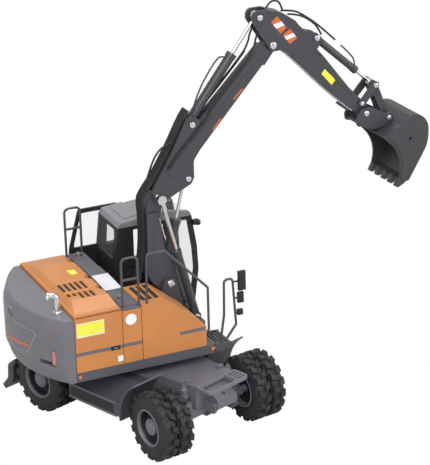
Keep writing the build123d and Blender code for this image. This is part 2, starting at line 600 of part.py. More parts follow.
for stay_x, x_low, x_high, z_low, z_high in mirror_rows:
    plate = brick(x_low, x_high, step_side - 0.5, step_side + 0.5, z_low, z_high)
    z_middle = (z_low + z_high) / 2
    plate += round_bar((stay_x, step_side, z_middle), (x_low + 0.2, step_side, z_middle), 0.3)
    mirrors = plate if mirrors is None else mirrors + plate
nodes["mirrors"] = mirrors - nodes["front_steps"]

# Boom bracket and hoist bracket on the platform
foot_pin = PIN_RADIUS + 0.2
bracket_rows = [(FOOT[0] - 6.5, PLATFORM_TOP - 0.05), (FOOT[0] + 5.0, PLATFORM_TOP - 0.05),
                (FOOT[0] + 2.2, FOOT[1] + 1.5, 2.1), (FOOT[0] - 2.2, FOOT[1] + 2.4, 2.1)]
bracket = pair(bracket_rows, BOOM_HALF + 0.25, BOOM_HALF + 1.15)
bracket += cross_pin(FOOT, -BOOM_HALF - 1.15, BOOM_HALF + 1.15, foot_pin)
hoist_rows = [(HOIST_BASE[0] - 2.8, PLATFORM_TOP - 0.05), (HOIST_BASE[0] + 2.0, PLATFORM_TOP - 0.05),
              (HOIST_BASE[0] + 1.6, HOIST_BASE[1] + 1.6, 1.2), (HOIST_BASE[0] - 1.6, HOIST_BASE[1] + 1.6,
                      1.2)]
bracket += slab(hoist_rows, -BOOM_HALF, BOOM_HALF)
bracket += cross_pin(HOIST_BASE, -6.2, 6.2, PIN_RADIUS)
nodes["boom_bracket"] = bracket

# Cab: shell with window openings, roof, glass and seat
cab_side_rows = [(CAB_REAR, PLATFORM_TOP), (27.2, PLATFORM_TOP, 1.0), (28.9, 39.5, 12.0), (28.5, 48.0, 12.0),
                 (26.8, ROOF_BASE), (0.6, ROOF_BASE), (CAB_REAR, 46.0, 1.0)]
cab_void_rows = [(CAB_REAR + CAB_WALL, PLATFORM_TOP + 1.2), (26.3, PLATFORM_TOP + 1.2), (28.0, 39.5, 12.0),
                 (27.6, 48.0, 12.0), (25.9, ROOF_BASE + 1), (1.6, ROOF_BASE + 1), (CAB_REAR + CAB_WALL, 46.0)]
roof_rows = [(0.6, ROOF_BASE), (26.8, ROOF_BASE), (26.2, 60.3, 0.8), (17.4, 61.9, 12.0), (1.6, CAB_ROOF, 0.6)]
roof_front = 17.0
frame_bar = 1.7
cab_shell = slab(cab_side_rows, CAB_INNER, CAB_OUTER)
cab_shell -= slab(cab_void_rows, CAB_INNER + CAB_WALL, CAB_OUTER - CAB_WALL)
right_window_rows = [(18.8, 33.0, 1.0), (26.2, 33.0, 1.0), (27.2, 40.0, 8.0), (26.8, 47.0, 8.0),
                     (25.2, 57.6, 1.0),
                     (18.8, 57.6, 1.0)]
right_rear_rows = [(3.0, 48.0, 0.8), (16.8, 48.0, 0.8), (16.8, 57.6, 0.8), (3.6, 57.6, 0.8)]
left_rear_rows = [(2.6, 47.8, 0.8), (DOOR_HINGE_X - 1.2, 47.8, 0.8), (DOOR_HINGE_X - 1.2, 57.6, 0.8),
                  (3.4, 57.6, 0.8)]
door_x = DOOR_HINGE_X + 0.6
door_rows = [(door_x, 29.4, 0.8), (26.3, 29.4, 1.5), (27.5, 40.0, 8.0), (27.2, 47.2, 8.0), (23.4, 60.7, 1.2),
             (door_x, 60.7, 0.8)]
door_opening = [(door_x - DOOR_GAP, 29.4 - DOOR_GAP, 0.8), (26.3 + DOOR_GAP, 29.4 - DOOR_GAP, 1.5),
                (27.5 + DOOR_GAP, 40.0, 8.0), (27.2 + DOOR_GAP, 47.2, 8.0), (24.2, 59.0 + DOOR_GAP),
                (23.0, 64.0), (door_x - DOOR_GAP, 64.0)]
rear_window = brick(-5, 5, CAB_INNER + 2.4, CAB_OUTER - 2.4, 47.6, ROOF_BASE - 1.3)
glass_low = 31.5
front_window = brick(roof_front, 35, CAB_INNER + frame_bar, CAB_OUTER - frame_bar, glass_low, 70)
cab_shell -= rear_window
cab_shell -= front_window
cab_shell -= slab(right_window_rows, CAB_INNER - 2, CAB_INNER + 3)
cab_shell -= slab(right_rear_rows, CAB_INNER - 2, CAB_INNER + 3)
cab_shell -= slab(door_opening, CAB_OUTER - 1.0, CAB_OUTER + 2)
cab_shell -= slab(left_rear_rows, CAB_OUTER - 3, CAB_OUTER + 2)
roof = slab(roof_rows, CAB_INNER - 0.1, CAB_OUTER)
roof -= front_window
roof -= slab(door_opening, CAB_OUTER - 1.0, CAB_OUTER + 2)
nodes["cab_roof"] = roof

hinge_rows = [
    # z low of the shell's pin bracket
    33.0, 53.0,
]
for z_low in hinge_rows:
    cab_shell += brick(DOOR_HINGE_X - 0.5, DOOR_HINGE_X + 0.3, CAB_OUTER - 0.1, DOOR_HINGE_Y, z_low,
                       z_low + 1.0)
    cab_shell += Pos(DOOR_HINGE_X, DOOR_HINGE_Y, z_low + 1.2) * Cylinder(HINGE_PIN, 2.4)
nodes["cab_shell"] = cab_shell

shell_profile = [(0, 20), (26.4, 20), (26.9, glass_low), (28.7, 39.5, 12.0), (28.3, 48.0, 12.0),
                 (26.3, 60.0, 1.2), (17.4, 61.6, 12.0), (0, 60.4)]
shell_inner = [(0, 19), (26.4 - PANE, 19), (26.9 - PANE, glass_low), (28.7 - PANE, 39.5, 12.0),
               (28.3 - PANE, 48.0, 12.0), (26.3 - PANE, 60.0 - PANE, 1.2), (17.4, 61.6 - PANE, 12.0),
               (0, 60.4 - PANE)]
screen = slab(shell_profile, CAB_INNER + frame_bar, CAB_OUTER - frame_bar)
screen -= slab(shell_inner, CAB_INNER, CAB_OUTER)
screen &= brick(roof_front, 35, 0, 40, glass_low, 70)
glass = screen
glass += slab(right_window_rows, CAB_INNER + 0.2, CAB_INNER + 0.2 + PANE)
glass += slab(right_rear_rows, CAB_INNER + 0.2, CAB_INNER + 0.2 + PANE)
glass += slab(left_rear_rows, CAB_OUTER - 0.2 - PANE, CAB_OUTER - 0.2)
rear_pane = brick(CAB_REAR - 1, CAB_REAR + 6, CAB_INNER + 2.4, CAB_OUTER - 2.4, 47.6, ROOF_BASE - 1.3)
rear_skin = slab(cab_side_rows, CAB_INNER, CAB_OUTER) - slab(
    [(CAB_REAR + PANE, 20), (40, 20), (40, 80), (0.6 + PANE, 80), (0.6 + PANE, ROOF_BASE), (CAB_REAR + PANE,
            46.0)],
    CAB_INNER - 1, CAB_OUTER + 1)
glass += rear_skin & rear_pane
nodes["cab_glass"] = glass

seat_rows = [(6.0, PLATFORM_TOP + 1.2), (12.5, PLATFORM_TOP + 1.2), (12.5, 36.0, 0.8), (7.6, 36.5, 0.8),
             (6.4, 47.0, 1.0), (4.2, 47.0, 1.0), (5.2, 36.0)]
seat = slab(seat_rows, 13.2, 20.2)
armrest_rows = [(6.6, PLATFORM_TOP + 1.3), (12.8, PLATFORM_TOP + 1.3), (13.3, 38.6, 0.8), (6.4, 38.0, 0.6)]
for arm_low in (11.2, 20.8):
    seat += slab(armrest_rows, arm_low, arm_low + 1.4)
seat += brick(7.0, 11.0, 12.4, 21.0, 30.0, 34.0)
nodes["driver_seat"] = seat
nodes["cab_lamp"] = brick(26.9, 29.0, CAB_INNER - 1.6, CAB_INNER, 55.8, 57.4)


def swung_open(shape):
    """Turn a closed door piece half a turn about its hinge, to its open place."""
    return Pos(DOOR_HINGE_X, DOOR_HINGE_Y, 0) * Rot(0, 0, 180) * Pos(-DOOR_HINGE_X, -DOOR_HINGE_Y, 0) * shape


upper_pane_rows = [(door_x + 1.6, 47.4, 0.8), (25.8, 47.4, 0.8), (22.6, 59.3, 1.0), (door_x + 1.6, 59.3, 0.8)]
lower_pane_rows = [(door_x + 1.6, 31.0, 0.8), (25.0, 31.0, 0.8), (26.0, 40.0, 6.0), (25.8, 46.0, 0.8),
                   (door_x + 1.6, 46.0, 0.8)]
door_face = DOOR_HINGE_Y - DOOR_OFFSET
door_inner = door_face - DOOR_THICK / 2
door_outer = door_face + DOOR_THICK / 2
door = slab(door_rows, door_inner, door_outer)
door -= slab(upper_pane_rows, door_face - 2, door_face + 2)
door -= slab(lower_pane_rows, door_face - 2, door_face + 2)
for z_low in hinge_rows:
    knuckle_low = z_low + 1.05
    knuckle_block = Pos(DOOR_HINGE_X, DOOR_HINGE_Y, knuckle_low + 0.6) * Cylinder(HINGE_EYE, 1.2)
    strap = brick(DOOR_HINGE_X, door_x + 1.0, door_outer - 0.1, DOOR_HINGE_Y + 0.3, knuckle_low,
                  knuckle_low + 1.2)
    door += knuckle_block + strap
    door -= Pos(DOOR_HINGE_X, DOOR_HINGE_Y, knuckle_low) * Cylinder(HINGE_PIN + 0.05, 4)
nodes["cab_door"] = swung_open(door)
door_glass = slab(upper_pane_rows, door_face - PANE / 2, door_face + PANE / 2)
door_glass += slab(lower_pane_rows, door_face - PANE / 2, door_face + PANE / 2)
nodes["door_glass"] = swung_open(door_glass)

# Arm: base boom, upper boom, dipper and linkage
base_rows = [(FOOT[0] - 2.4, FOOT[1] - 2.6, 2.3), (FOOT[0] + 2.5, FOOT[1] - 2.6, 2.3),
             (FOOT[0] + 2.5, FOOT[1] + 2.5, 2.0), (ADJUST_BASE[0] + 1.9, ADJUST_BASE[1] + 1.5, 1.5),
             (12.2, 54.0, 6.0), (10.4, 66.5), (6.4, 66.5), (6.2, 44.0, 6.0)]
base_boom = slab(base_rows, -BOOM_HALF, BOOM_HALF)
head_rows = [(6.6, 64.0), (11.4, 64.0), (ELBOW[0] + 2.0, ELBOW[1] - 1.0, 1.5), (ELBOW[0] + 1.6,
        ELBOW[1] + 1.9, 1.5),
             (ELBOW[0] - 2.2, ELBOW[1] + 1.9, 1.8), (6.8, 68.0, 2.0)]
base_boom += slab(head_rows, -TONGUE_HALF, TONGUE_HALF)
cylinder_room = [(ADJUST_BASE[0] - 2.3, ADJUST_BASE[1] - 2.3, 2.0), (30, ADJUST_BASE[1] - 2.3), (30, 70),
                 (ADJUST_BASE[0] - 1.1, 70)]
base_boom -= slab(cylinder_room, -FORK_INNER, FORK_INNER)
base_boom -= cross_pin(FOOT, -4, 4, foot_pin + PIN_FIT)
base_boom += cross_pin(ADJUST_BASE, -FORK_INNER - 0.1, FORK_INNER + 0.1, PIN_RADIUS)
base_boom -= cross_pin(ELBOW, -4, 4, PIN_RADIUS + PIN_FIT)
rib_rows = [(7.2, 46.0), (8.0, 46.0), (9.6, 62.0), (8.8, 62.0)]
base_boom += pair(rib_rows, BOOM_HALF - 0.1, BOOM_HALF + DOUBLER)
nodes["base_boom"] = base_boom

upper_rows = [(ELBOW[0] - 2.2, ELBOW[1] - 1.2, 1.4), (ELBOW[0] + 1.4, ELBOW[1] - 2.0, 1.4), (18.2, 72.4, 2.0),
              (22.3, 74.2, 1.5), (23.4, 76.2, 1.2), (23.4, 82.0, 3.0), (25.8, 85.3, 3.0), (51.6, 113.6),
              (49.2, 116.2), (47.6, 114.7), (30.6, 97.8, 3.0), (26.6, 94.6, 1.5), (24.6, 96.2, 1.5),
              (21.3, 96.2, 1.8), (15.9, 86.0, 4.0), (9.2, 75.2, 4.0)]
upper_boom = slab(upper_rows, -BOOM_HALF, BOOM_HALF)
tongue_rows = [(46.0, 113.1), (49.6, 109.4), (BOOM_END[0] + 1.2, BOOM_END[1] - 1.7, 1.2),
               (BOOM_END[0] + 1.3, BOOM_END[1] + 1.5, 1.2), (BOOM_END[0] - 1.5, BOOM_END[1] + 1.8, 1.2)]
upper_boom += slab(tongue_rows, -TONGUE_HALF, TONGUE_HALF)
elbow_room = [(2.0, 60.0), (26.0, 60.0), (26.0, 74.5), (24.6, 78.6, 1.0), (19.0, 79.6, 1.5),
              (15.4, 77.4, 2.0),
              (10.5, 76.0, 2.0), (2.0, 77.0)]
upper_boom -= slab(elbow_room, -FORK_INNER, FORK_INNER)
upper_boom -= cross_pin(BOOM_END, -4, 4, PIN_RADIUS + PIN_FIT)
dipper_ear_room = [(18.0, 92.4, 1.0), (24.2, 90.8, 1.0), (29.6, 96.4), (34.0, 101.0), (18.0, 103.0)]
upper_boom -= slab(dipper_ear_room, -FORK_INNER, FORK_INNER)
upper_boom += cross_pin(ELBOW, -BOOM_HALF, BOOM_HALF, PIN_RADIUS)
upper_boom += cross_pin(DIPPER_BASE, -BOOM_HALF - 0.3, BOOM_HALF + 0.3, PIN_RADIUS)
upper_boom += stub_pins(ADJUST_EYE, FORK_INNER - 0.4, BOOM_HALF + 0.3, PIN_RADIUS)
doubler_rows = [(14.0, 79.6), (20.8, 86.0, 3.0), (26.6, 92.0, 3.0), (33.0, 98.0), (46.6, 112.0),
                (50.0, 112.4), (25.4, 85.6, 3.0),
                (22.8, 82.2, 3.0), (22.8, 79.0), (17.0, 76.6)]
upper_boom += pair(doubler_rows, BOOM_HALF - 0.1, BOOM_HALF + DOUBLER)
nodes["upper_boom"] = upper_boom

dipper_rows = [(DIPPER_EYE[0] - 2.6, DIPPER_EYE[1] - 1.0, 1.5), (50.3, 116.4, 1.0), (51.2, 113.9, 1.5),
               (54.8, 114.0, 1.5), (58.4, 111.8, 3.0), (69.2, 100.6, 30.0), (83.0, 88.2),
               (DIPPER_TIP[0] - 0.6, DIPPER_TIP[1] - 2.1, 1.3), (DIPPER_TIP[0] + 1.8, DIPPER_TIP[1] - 1.3,
                       1.3),
               (DIPPER_TIP[0] + 1.2, DIPPER_TIP[1] + 2.4, 1.0), (83.4, 94.0), (79.8, 97.8, 3.0),
               (68.6, 112.3),
               (71.0, 115.2, 1.3), (68.6, 117.6, 1.2), (63.6, 119.2, 1.5), (60.8, 122.8, 1.5), (55.6, 126.4,
                       3.0),
               (50.4, 127.9, 2.5), (DIPPER_EYE[0] - 2.4, DIPPER_EYE[1] + 2.2, 2.0)]
dipper = slab(dipper_rows, -DIPPER_HALF, DIPPER_HALF)
dipper_room = [(40.0, 108.0), (55.0, 113.0, 0.5), (56.4, 116.6, 2.0), (54.0, 120.5, 2.0), (52.6, 125.4, 1.5),
               (49.6, 129.4, 1.5), (40.0, 131.0)]
dipper -= slab(dipper_room, -FORK_INNER, FORK_INNER)
ear_room = [(65.5, 113.6, 0.6), (66.0, 122.0), (75.0, 122.0), (73.0, 110.0), (70.6, 110.0), (68.0, 112.4,
        0.6)]
dipper -= slab(ear_room, -1.3, 1.3)
ear_side_rows = [(60.0, 122.8), (63.5, 119.8, 1.0), (66.0, 113.8, 1.0), (69.0, 110.0), (74.0, 112.0),
                 (74.0, 124.0)]
dipper -= pair(ear_side_rows, 2.1, 4)
dipper += cross_pin(BOOM_END, -BOOM_HALF - 0.2, BOOM_HALF + 0.2, PIN_RADIUS)
dipper += stub_pins(DIPPER_EYE, FORK_INNER - 0.4, BOOM_HALF + 0.2, PIN_RADIUS)
dipper += cross_pin(BUCKET_BASE, -2.4, 2.4, PIN_RADIUS)
dipper += cross_pin(DIPPER_TIP, -COUPLER_OUTER - 0.15, COUPLER_OUTER + 0.15, PIN_RADIUS)
rocker_pin = PIN_RADIUS - 0.2
dipper += cross_pin(ROCKER_PIN, -ROCKER_OUTER - 0.1, ROCKER_OUTER + 0.1, rocker_pin)
dipper += slab([(78.4, 92.4), (80.6, 90.6), (80.0, 89.3), (77.4, 91.4)], -2.0, 2.0)
pipe_side = -DIPPER_HALF + 0.35
dipper += tube([(57.4, pipe_side, 112.3), (64.5, pipe_side, 105.3), (71.0, pipe_side, 98.7), (78.6, pipe_side,
        91.9)], 20.0, 0.3, 6)
groove_rows = [(70.6, 107.4), (80.0, 96.6), (80.0, 95.6), (69.8, 106.6)]
dipper += pair(groove_rows, DIPPER_HALF - 0.1, DIPPER_HALF + 0.12)
nodes["dipper"] = dipper


def lever(start, stop, wide, end_wide):
    """Outline rows of a straight lever with round ends, between two pivots."""
    run = Vector(stop[0] - start[0], 0, stop[1] - start[1])
    along = run.normalized()
    side = Vector(-along.Z, 0, along.X)
    rows = []
    for at, width, sense in ((start, wide, -1), (stop, end_wide, 1)):
        for hand in (sense, -sense):
            point = Vector(at[0], 0, at[1]) + along * (width * sense) - side * (width * hand)
            rows.append((point.X, point.Z, width * 0.98))
    return rows


link_pin = PIN_RADIUS - 0.1
rocker = pair(lever(ROCKER_PIN, ROCKER_END, 1.2, 1.3), ROCKER_INNER, ROCKER_OUTER)
rocker -= cross_pin(ROCKER_PIN, -5, 5, rocker_pin + PIN_FIT)
rocker += stub_pins(ROCKER_END, LINK_INNER, ROCKER_OUTER + 0.15, link_pin)
nodes["rocker"] = rocker

link = pair(lever(ROCKER_END, LINK_END, 1.3, 1.2), LINK_INNER, LINK_OUTER)
link -= cross_pin(ROCKER_END, -5, 5, link_pin + PIN_FIT)
link_tie = ((ROCKER_END[0] + LINK_END[0]) / 2, (ROCKER_END[1] + LINK_END[1]) / 2)
link += cross_pin(link_tie, -LINK_INNER, LINK_INNER, 0.6)
nodes["link"] = link

coupler_rows = [(83.7, 90.0, 1.7), (81.9, 86.5, 1.2), (82.2, 84.2, 1.0), (84.6, 83.9, 0.6), (88.0, 82.2),
                (92.0, 82.6), (95.8, 84.2, 1.0), (95.8, 87.0, 1.3), (92.8, 87.3, 1.0), (87.5, 90.2, 1.7)]
coupler = pair(coupler_rows, COUPLER_INNER, COUPLER_OUTER)
coupler_floor = [(88.0, 82.2), (92.0, 82.6), (92.4, 83.3), (88.2, 83.0)]
coupler += slab(coupler_floor, -COUPLER_INNER - 0.1, COUPLER_INNER + 0.1)
coupler += stub_pins(LINK_END, LINK_OUTER + 0.2, COUPLER_OUTER + 0.15, link_pin)
front_hook = (83.2, 85.2)
coupler += cross_pin(front_hook, -COUPLER_OUTER - 0.5, COUPLER_OUTER + 0.5, 0.6)
coupler -= cross_pin(DIPPER_TIP, -5, 5, PIN_RADIUS + PIN_FIT)
nodes["coupler"] = coupler

bucket_outer = [(89.0, 81.0), (92.0, 82.3), (95.8, 84.0, 2.0), (99.4, 87.2, 2.0), (106.3, 87.0, 6.0),
                (106.3, 76.4, 12.0), (99.0, 64.3), (97.4, 63.9), (95.2, 65.0), (97.2, 72.6, 12.0)]
bucket = slab(bucket_outer, -BUCKET_HALF, BUCKET_HALF)
bucket_void = [(80.0, 81.0), (89.2, 80.2), (92.3, 81.5), (96.1, 83.1, 2.0), (99.7, 86.2, 1.6), (105.4, 86.1,
        5.0),
               (105.4, 76.6, 11.2), (98.6, 65.1), (97.0, 64.5), (90.0, 60.0), (80.0, 70.0)]
bucket -= slab(bucket_void, -BUCKET_HALF + BUCKET_SHEET, BUCKET_HALF - BUCKET_SHEET)
bucket -= slab(coupler_rows, -COUPLER_OUTER - 0.1, COUPLER_OUTER + 0.1)
tooth_rows = [(98.4, 64.9), (97.2, 63.4), (95.0, 62.3), (93.9, 62.7, 0.2), (95.3, 65.3), (97.0, 64.7)]
tooth_half = 0.95
teeth = 5
tooth_step = 2 * (BUCKET_HALF - tooth_half - 0.1) / (teeth - 1)
for index in range(teeth):
    middle = (index - (teeth - 1) / 2) * tooth_step
    bucket += slab(tooth_rows, middle - tooth_half, middle + tooth_half)
cutter_rows = [(90.4, 81.4), (93.9, 83.4, 1.5), (97.6, 78.4, 3.0), (98.7, 72.4, 6.0), (98.5, 66.5),
               (97.2, 65.0), (95.7, 65.6),
               (97.6, 72.6, 12.0)]
bucket += pair(cutter_rows, BUCKET_HALF - 0.1, BUCKET_HALF + DOUBLER)
bucket -= stub_pins((99.4, 78.9), BUCKET_HALF - 2, BUCKET_HALF + 2, 0.55)
nodes["bucket"] = bucket


def ram(base, eye, barrel_length, barrel_radius, rod_radius, middle, half_eye, eye_radius, stroke_in):
    """Hydraulic cylinder between two pivots in the plane y = middle: barrel, and rod with stroke_in left to slip in."""
    hole = PIN_RADIUS + PIN_FIT
    bore_start = eye_radius + 0.8
    rod_start = bore_start + stroke_in + 0.2
    start = Vector(base[0], middle, base[1])
    stop = Vector(eye[0], middle, eye[1])
    along = (stop - start).normalized()
    barrel = round_bar(start + along * (eye_radius * 0.6), start + along * barrel_length, barrel_radius)
    barrel += round_bar(start + along * (barrel_length - 1.6), start + along * barrel_length,
                        barrel_radius + 0.15)
    barrel -= cross_pin(base, middle - 6, middle - half_eye, 4.0)
    barrel -= cross_pin(base, middle + half_eye, middle + 6, 4.0)
    barrel += cross_pin(base, middle - half_eye, middle + half_eye, eye_radius)
    barrel -= cross_pin(base, middle - 6, middle + 6, hole)
    barrel -= round_bar(start + along * bore_start, start + along * (barrel_length + 1), rod_radius + PIN_FIT)
    rod = round_bar(start + along * rod_start, stop, rod_radius)
    rod += cross_pin(eye, middle - ROD_EYE_HALF, middle + ROD_EYE_HALF, eye_radius)
    return barrel, rod


hoist_left = ram(HOIST_BASE, ELBOW, 25.0, 1.4, 0.65, HOIST_OFFSET, 1.1, 1.5, 5.3)
nodes["hoist_barrels"] = mirrored(hoist_left[0])
nodes["hoist_rods"] = mirrored(hoist_left[1])
adjust = ram(ADJUST_BASE, ADJUST_EYE, 15.5, 1.7, 0.55, 0.0, 1.5, 1.6, 5.5)
nodes["adjust_barrel"] = adjust[0]
nodes["adjust_rod"] = adjust[1]
dipper_ram = ram(DIPPER_BASE, DIPPER_EYE, 26.0, 1.6, 0.6, 0.0, 1.5, 1.7, 2.4)
ram_hose = hose([(23.9, -1.0, 95.8), (24.6, -2.4, 101.4), (27.2, -2.4, 106.8), (31.0, -2.2, 112.2),
                 (34.0, -1.4, 114.8),
                 (36.9, -0.5, 113.5)], THIN_HOSE_RADIUS)
nodes["dipper_barrel"] = dipper_ram[0] + ram_hose
nodes["dipper_rod"] = dipper_ram[1]
bucket_ram = ram(BUCKET_BASE, ROCKER_END, 20.5, 1.2, 0.55, 0.0, 1.1, 1.3, 4.5)
bucket_hose = hose([(78.4, 0, 111.6), (81.0, 0, 109.0), (83.2, 0, 106.4), (83.4, 0, 104.1)], THIN_HOSE_RADIUS)
nodes["bucket_barrel"] = bucket_ram[0] + bucket_hose
nodes["bucket_rod"] = bucket_ram[1]

# Hoses: behind the base boom, along the upper boom and over the dipper
base_hoses = None
base_hose_points = [(1.6, 30.4), (2.4, 40.0), (4.5, 49.0), (5.6, 58.0), (5.4, 66.0)]
for hose_y in (-2.1, -0.7, 0.7, 2.1):
    run = hose([(x, hose_y, z) for x, z in base_hose_points], HOSE_RADIUS)
    base_hoses = run if base_hoses is None else base_hoses + run
nodes["hoses_base"] = base_hoses
boom_hoses = None
boom_hose_points = [(9.0, 76.5), (15.0, 85.7), (20.4, 96.2), (22.4, 98.6)]
for hose_y in (-1.8, -0.6, 0.6, 1.8):
    run = hose([(x, hose_y, z) for x, z in boom_hose_points], HOSE_RADIUS)
    boom_hoses = run if boom_hoses is None else boom_hoses + run
for hose_y in (-2.35, 2.35):
    boom_hoses += hose([(28.4, hose_y, 97.1), (40.4, hose_y, 109.2), (44.6, hose_y, 114.2)], HOSE_RADIUS)
nodes["hoses_boom"] = boom_hoses
arm_hose_runs = [
    [(51.4, 0, 127.8), (52.4, 0, 129.4), (54.4, 0, 130.0), (56.4, 0, 129.0), (57.2, 0, 126.2)],
    [(56.0, -1.3, 126.6), (60.6, -1.1, 126.2), (64.8, -0.9, 123.6), (68.8, -0.6, 120.6), (72.4, -0.3, 117.4),
     (76.2, 0, 113.8)],
    [(57.9, -2.2, 125.4), (61.6, -2.3, 124.9), (65.6, -2.5, 122.6), (68.4, -2.8, 120.0), (69.6, -3.0, 117.2)],
]
arm_hoses = None
for points in arm_hose_runs:
    run = hose(points, THIN_HOSE_RADIUS)
    arm_hoses = run if arm_hoses is None else arm_hoses + run
nodes["hoses_arm"] = arm_hoses

for name, shape in nodes.items():
    export_step(shape, f"parts/{name}.step")
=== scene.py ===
"""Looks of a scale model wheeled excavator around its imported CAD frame. Metres, +X over the arm, +Z up."""

import math

import bpy
from mathutils import Matrix, Vector


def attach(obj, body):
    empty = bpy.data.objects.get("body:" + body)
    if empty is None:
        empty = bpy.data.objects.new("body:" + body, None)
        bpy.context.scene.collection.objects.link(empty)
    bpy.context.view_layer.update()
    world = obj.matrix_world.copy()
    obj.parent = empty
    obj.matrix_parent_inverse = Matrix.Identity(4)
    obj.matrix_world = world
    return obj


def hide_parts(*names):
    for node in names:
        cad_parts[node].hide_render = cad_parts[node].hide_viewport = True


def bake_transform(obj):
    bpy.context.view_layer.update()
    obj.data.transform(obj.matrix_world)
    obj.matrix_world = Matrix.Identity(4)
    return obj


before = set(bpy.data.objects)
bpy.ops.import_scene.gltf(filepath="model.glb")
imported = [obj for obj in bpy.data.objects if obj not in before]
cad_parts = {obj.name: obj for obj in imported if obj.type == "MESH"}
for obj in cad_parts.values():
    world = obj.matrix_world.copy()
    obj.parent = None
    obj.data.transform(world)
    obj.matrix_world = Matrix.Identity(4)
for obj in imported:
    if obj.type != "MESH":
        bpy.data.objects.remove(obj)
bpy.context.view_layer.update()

MM = 0.001
WHITE = (1, 1, 1, 1)

# The undercarriage stands turned under the upper carriage, as in the photograph
SLEW = math.radians(69)
UNDER = Matrix.Rotation(-SLEW, 4, "Z")

# Camera of the photograph, fitted to the model's pivots
CAMERA_PLACE = Vector((-213.4, -541.17, 289.94)) * MM
CAMERA_AZIMUTH = math.radians(-24.35)
CAMERA_ELEVATION = math.radians(21.61)
CAMERA_ROLL = math.radians(-1.5)
CAMERA_SENSOR = 36.0
CAMERA_LENS = 162.97
CAMERA_CLIP = (0.01, 10.0)

# Lights and floor
WORLD_LIGHT = 0.62
LAMP_TARGET = (0.02, 0, 0.05)
LAMPS = [
    # name, place, size, power
    ("key", (-0.35, -0.6, 0.65), 0.6, 6.3),
    ("fill", (0.6, -0.5, 0.35), 0.6, 2.3),
    ("top", (0.1, 0.35, 0.9), 0.7, 3.5),
]
FLOOR_HALF = 1.5
FLOOR_GREY = (0.45, 0.45, 0.45, 1)
FLOOR_ROUGHNESS = 0.9


def add_camera():
    """Camera at the photograph's angle."""
    data = bpy.data.cameras.new("camera")
    data.sensor_fit = "HORIZONTAL"
    data.sensor_width = CAMERA_SENSOR
    data.lens = CAMERA_LENS
    data.clip_start, data.clip_end = CAMERA_CLIP
    camera = bpy.data.objects.new("camera", data)
    bpy.context.scene.collection.objects.link(camera)
    flat = math.cos(CAMERA_ELEVATION)
    back = Vector((math.sin(CAMERA_AZIMUTH) * flat, -math.cos(CAMERA_AZIMUTH) * flat,
                   math.sin(CAMERA_ELEVATION)))
    level = Vector((math.cos(CAMERA_AZIMUTH), math.sin(CAMERA_AZIMUTH), 0))
    upright = back.cross(level)
    right = level * math.cos(CAMERA_ROLL) + upright * math.sin(CAMERA_ROLL)
    up = upright * math.cos(CAMERA_ROLL) - level * math.sin(CAMERA_ROLL)
    turn = Matrix((right, up, back)).transposed().to_4x4()
    camera.matrix_world = Matrix.Translation(CAMERA_PLACE) @ turn
    bpy.context.scene.camera = camera


def add_lamp(name, place, size, power):
    """Square soft lamp at a place, turned to the model."""
    data = bpy.data.lights.new(name, "AREA")
    data.size = size
    data.energy = power
    lamp = bpy.data.objects.new(name, data)
    lamp.location = place
    lamp.rotation_euler = (Vector(place) - Vector(LAMP_TARGET)).to_track_quat("Z", "Y").to_euler()
    bpy.context.scene.collection.objects.link(lamp)


def split_by_camera(tree, lit, seen, out):
    """Give the camera's own rays one shader and all other rays another."""
    path = tree.nodes.new("ShaderNodeLightPath")
    mix = tree.nodes.new("ShaderNodeMixShader")
    tree.links.new(path.outputs["Is Camera Ray"], mix.inputs["Fac"])
    tree.links.new(lit.outputs[0], mix.inputs[1])
    tree.links.new(seen.outputs[0], mix.inputs[2])
    tree.links.new(mix.outputs[0], out.inputs["Surface"])


def add_world(strength):
    """Even pale surroundings that light the part, and pure white where the camera looks past it."""
    world = bpy.data.worlds.new("studio")
    bpy.context.scene.world = world
    world.use_nodes = True
    nodes = world.node_tree.nodes
    nodes.clear()
    light = nodes.new("ShaderNodeBackground")
    light.inputs["Color"].default_value = WHITE
    light.inputs["Strength"].default_value = strength
    seen = nodes.new("ShaderNodeBackground")
    seen.inputs["Color"].default_value = WHITE
    seen.inputs["Strength"].default_value = 1.0
    split_by_camera(world.node_tree, light, seen, nodes.new("ShaderNodeOutputWorld"))


def add_floor():
    """Floor that the camera sees as plain white and that gives the part a dim bounce from below."""
    mesh = bpy.data.meshes.new("floor")
    corners = [(x * FLOOR_HALF, y * FLOOR_HALF, 0) for x, y in ((-1, -1), (1, -1), (1, 1), (-1, 1))]
    mesh.from_pydata(corners, [], [(0, 1, 2, 3)])
    floor = bpy.data.objects.new("floor", mesh)
    bpy.context.scene.collection.objects.link(floor)
    material = bpy.data.materials.new("floor_white")
    material.use_nodes = True
    nodes = material.node_tree.nodes
    surface = nodes["Principled BSDF"]
    surface.inputs["Base Color"].default_value = FLOOR_GREY
    surface.inputs["Roughness"].default_value = FLOOR_ROUGHNESS
    seen = nodes.new("ShaderNodeEmission")
    seen.inputs["Color"].default_value = WHITE
    seen.inputs["Strength"].default_value = 1.0
    split_by_camera(material.node_tree, surface, seen, nodes["Material Output"])
    mesh.materials.append(material)


add_camera()
add_world(WORLD_LIGHT)
for lamp_values in LAMPS:
    add_lamp(*lamp_values)
add_floor()
bpy.context.scene.view_settings.view_transform = "Standard"

# Materials. A colour drifts over the middle part of its noise's range
DRIFT_START = 0.3
DRIFT_STOP = 0.7


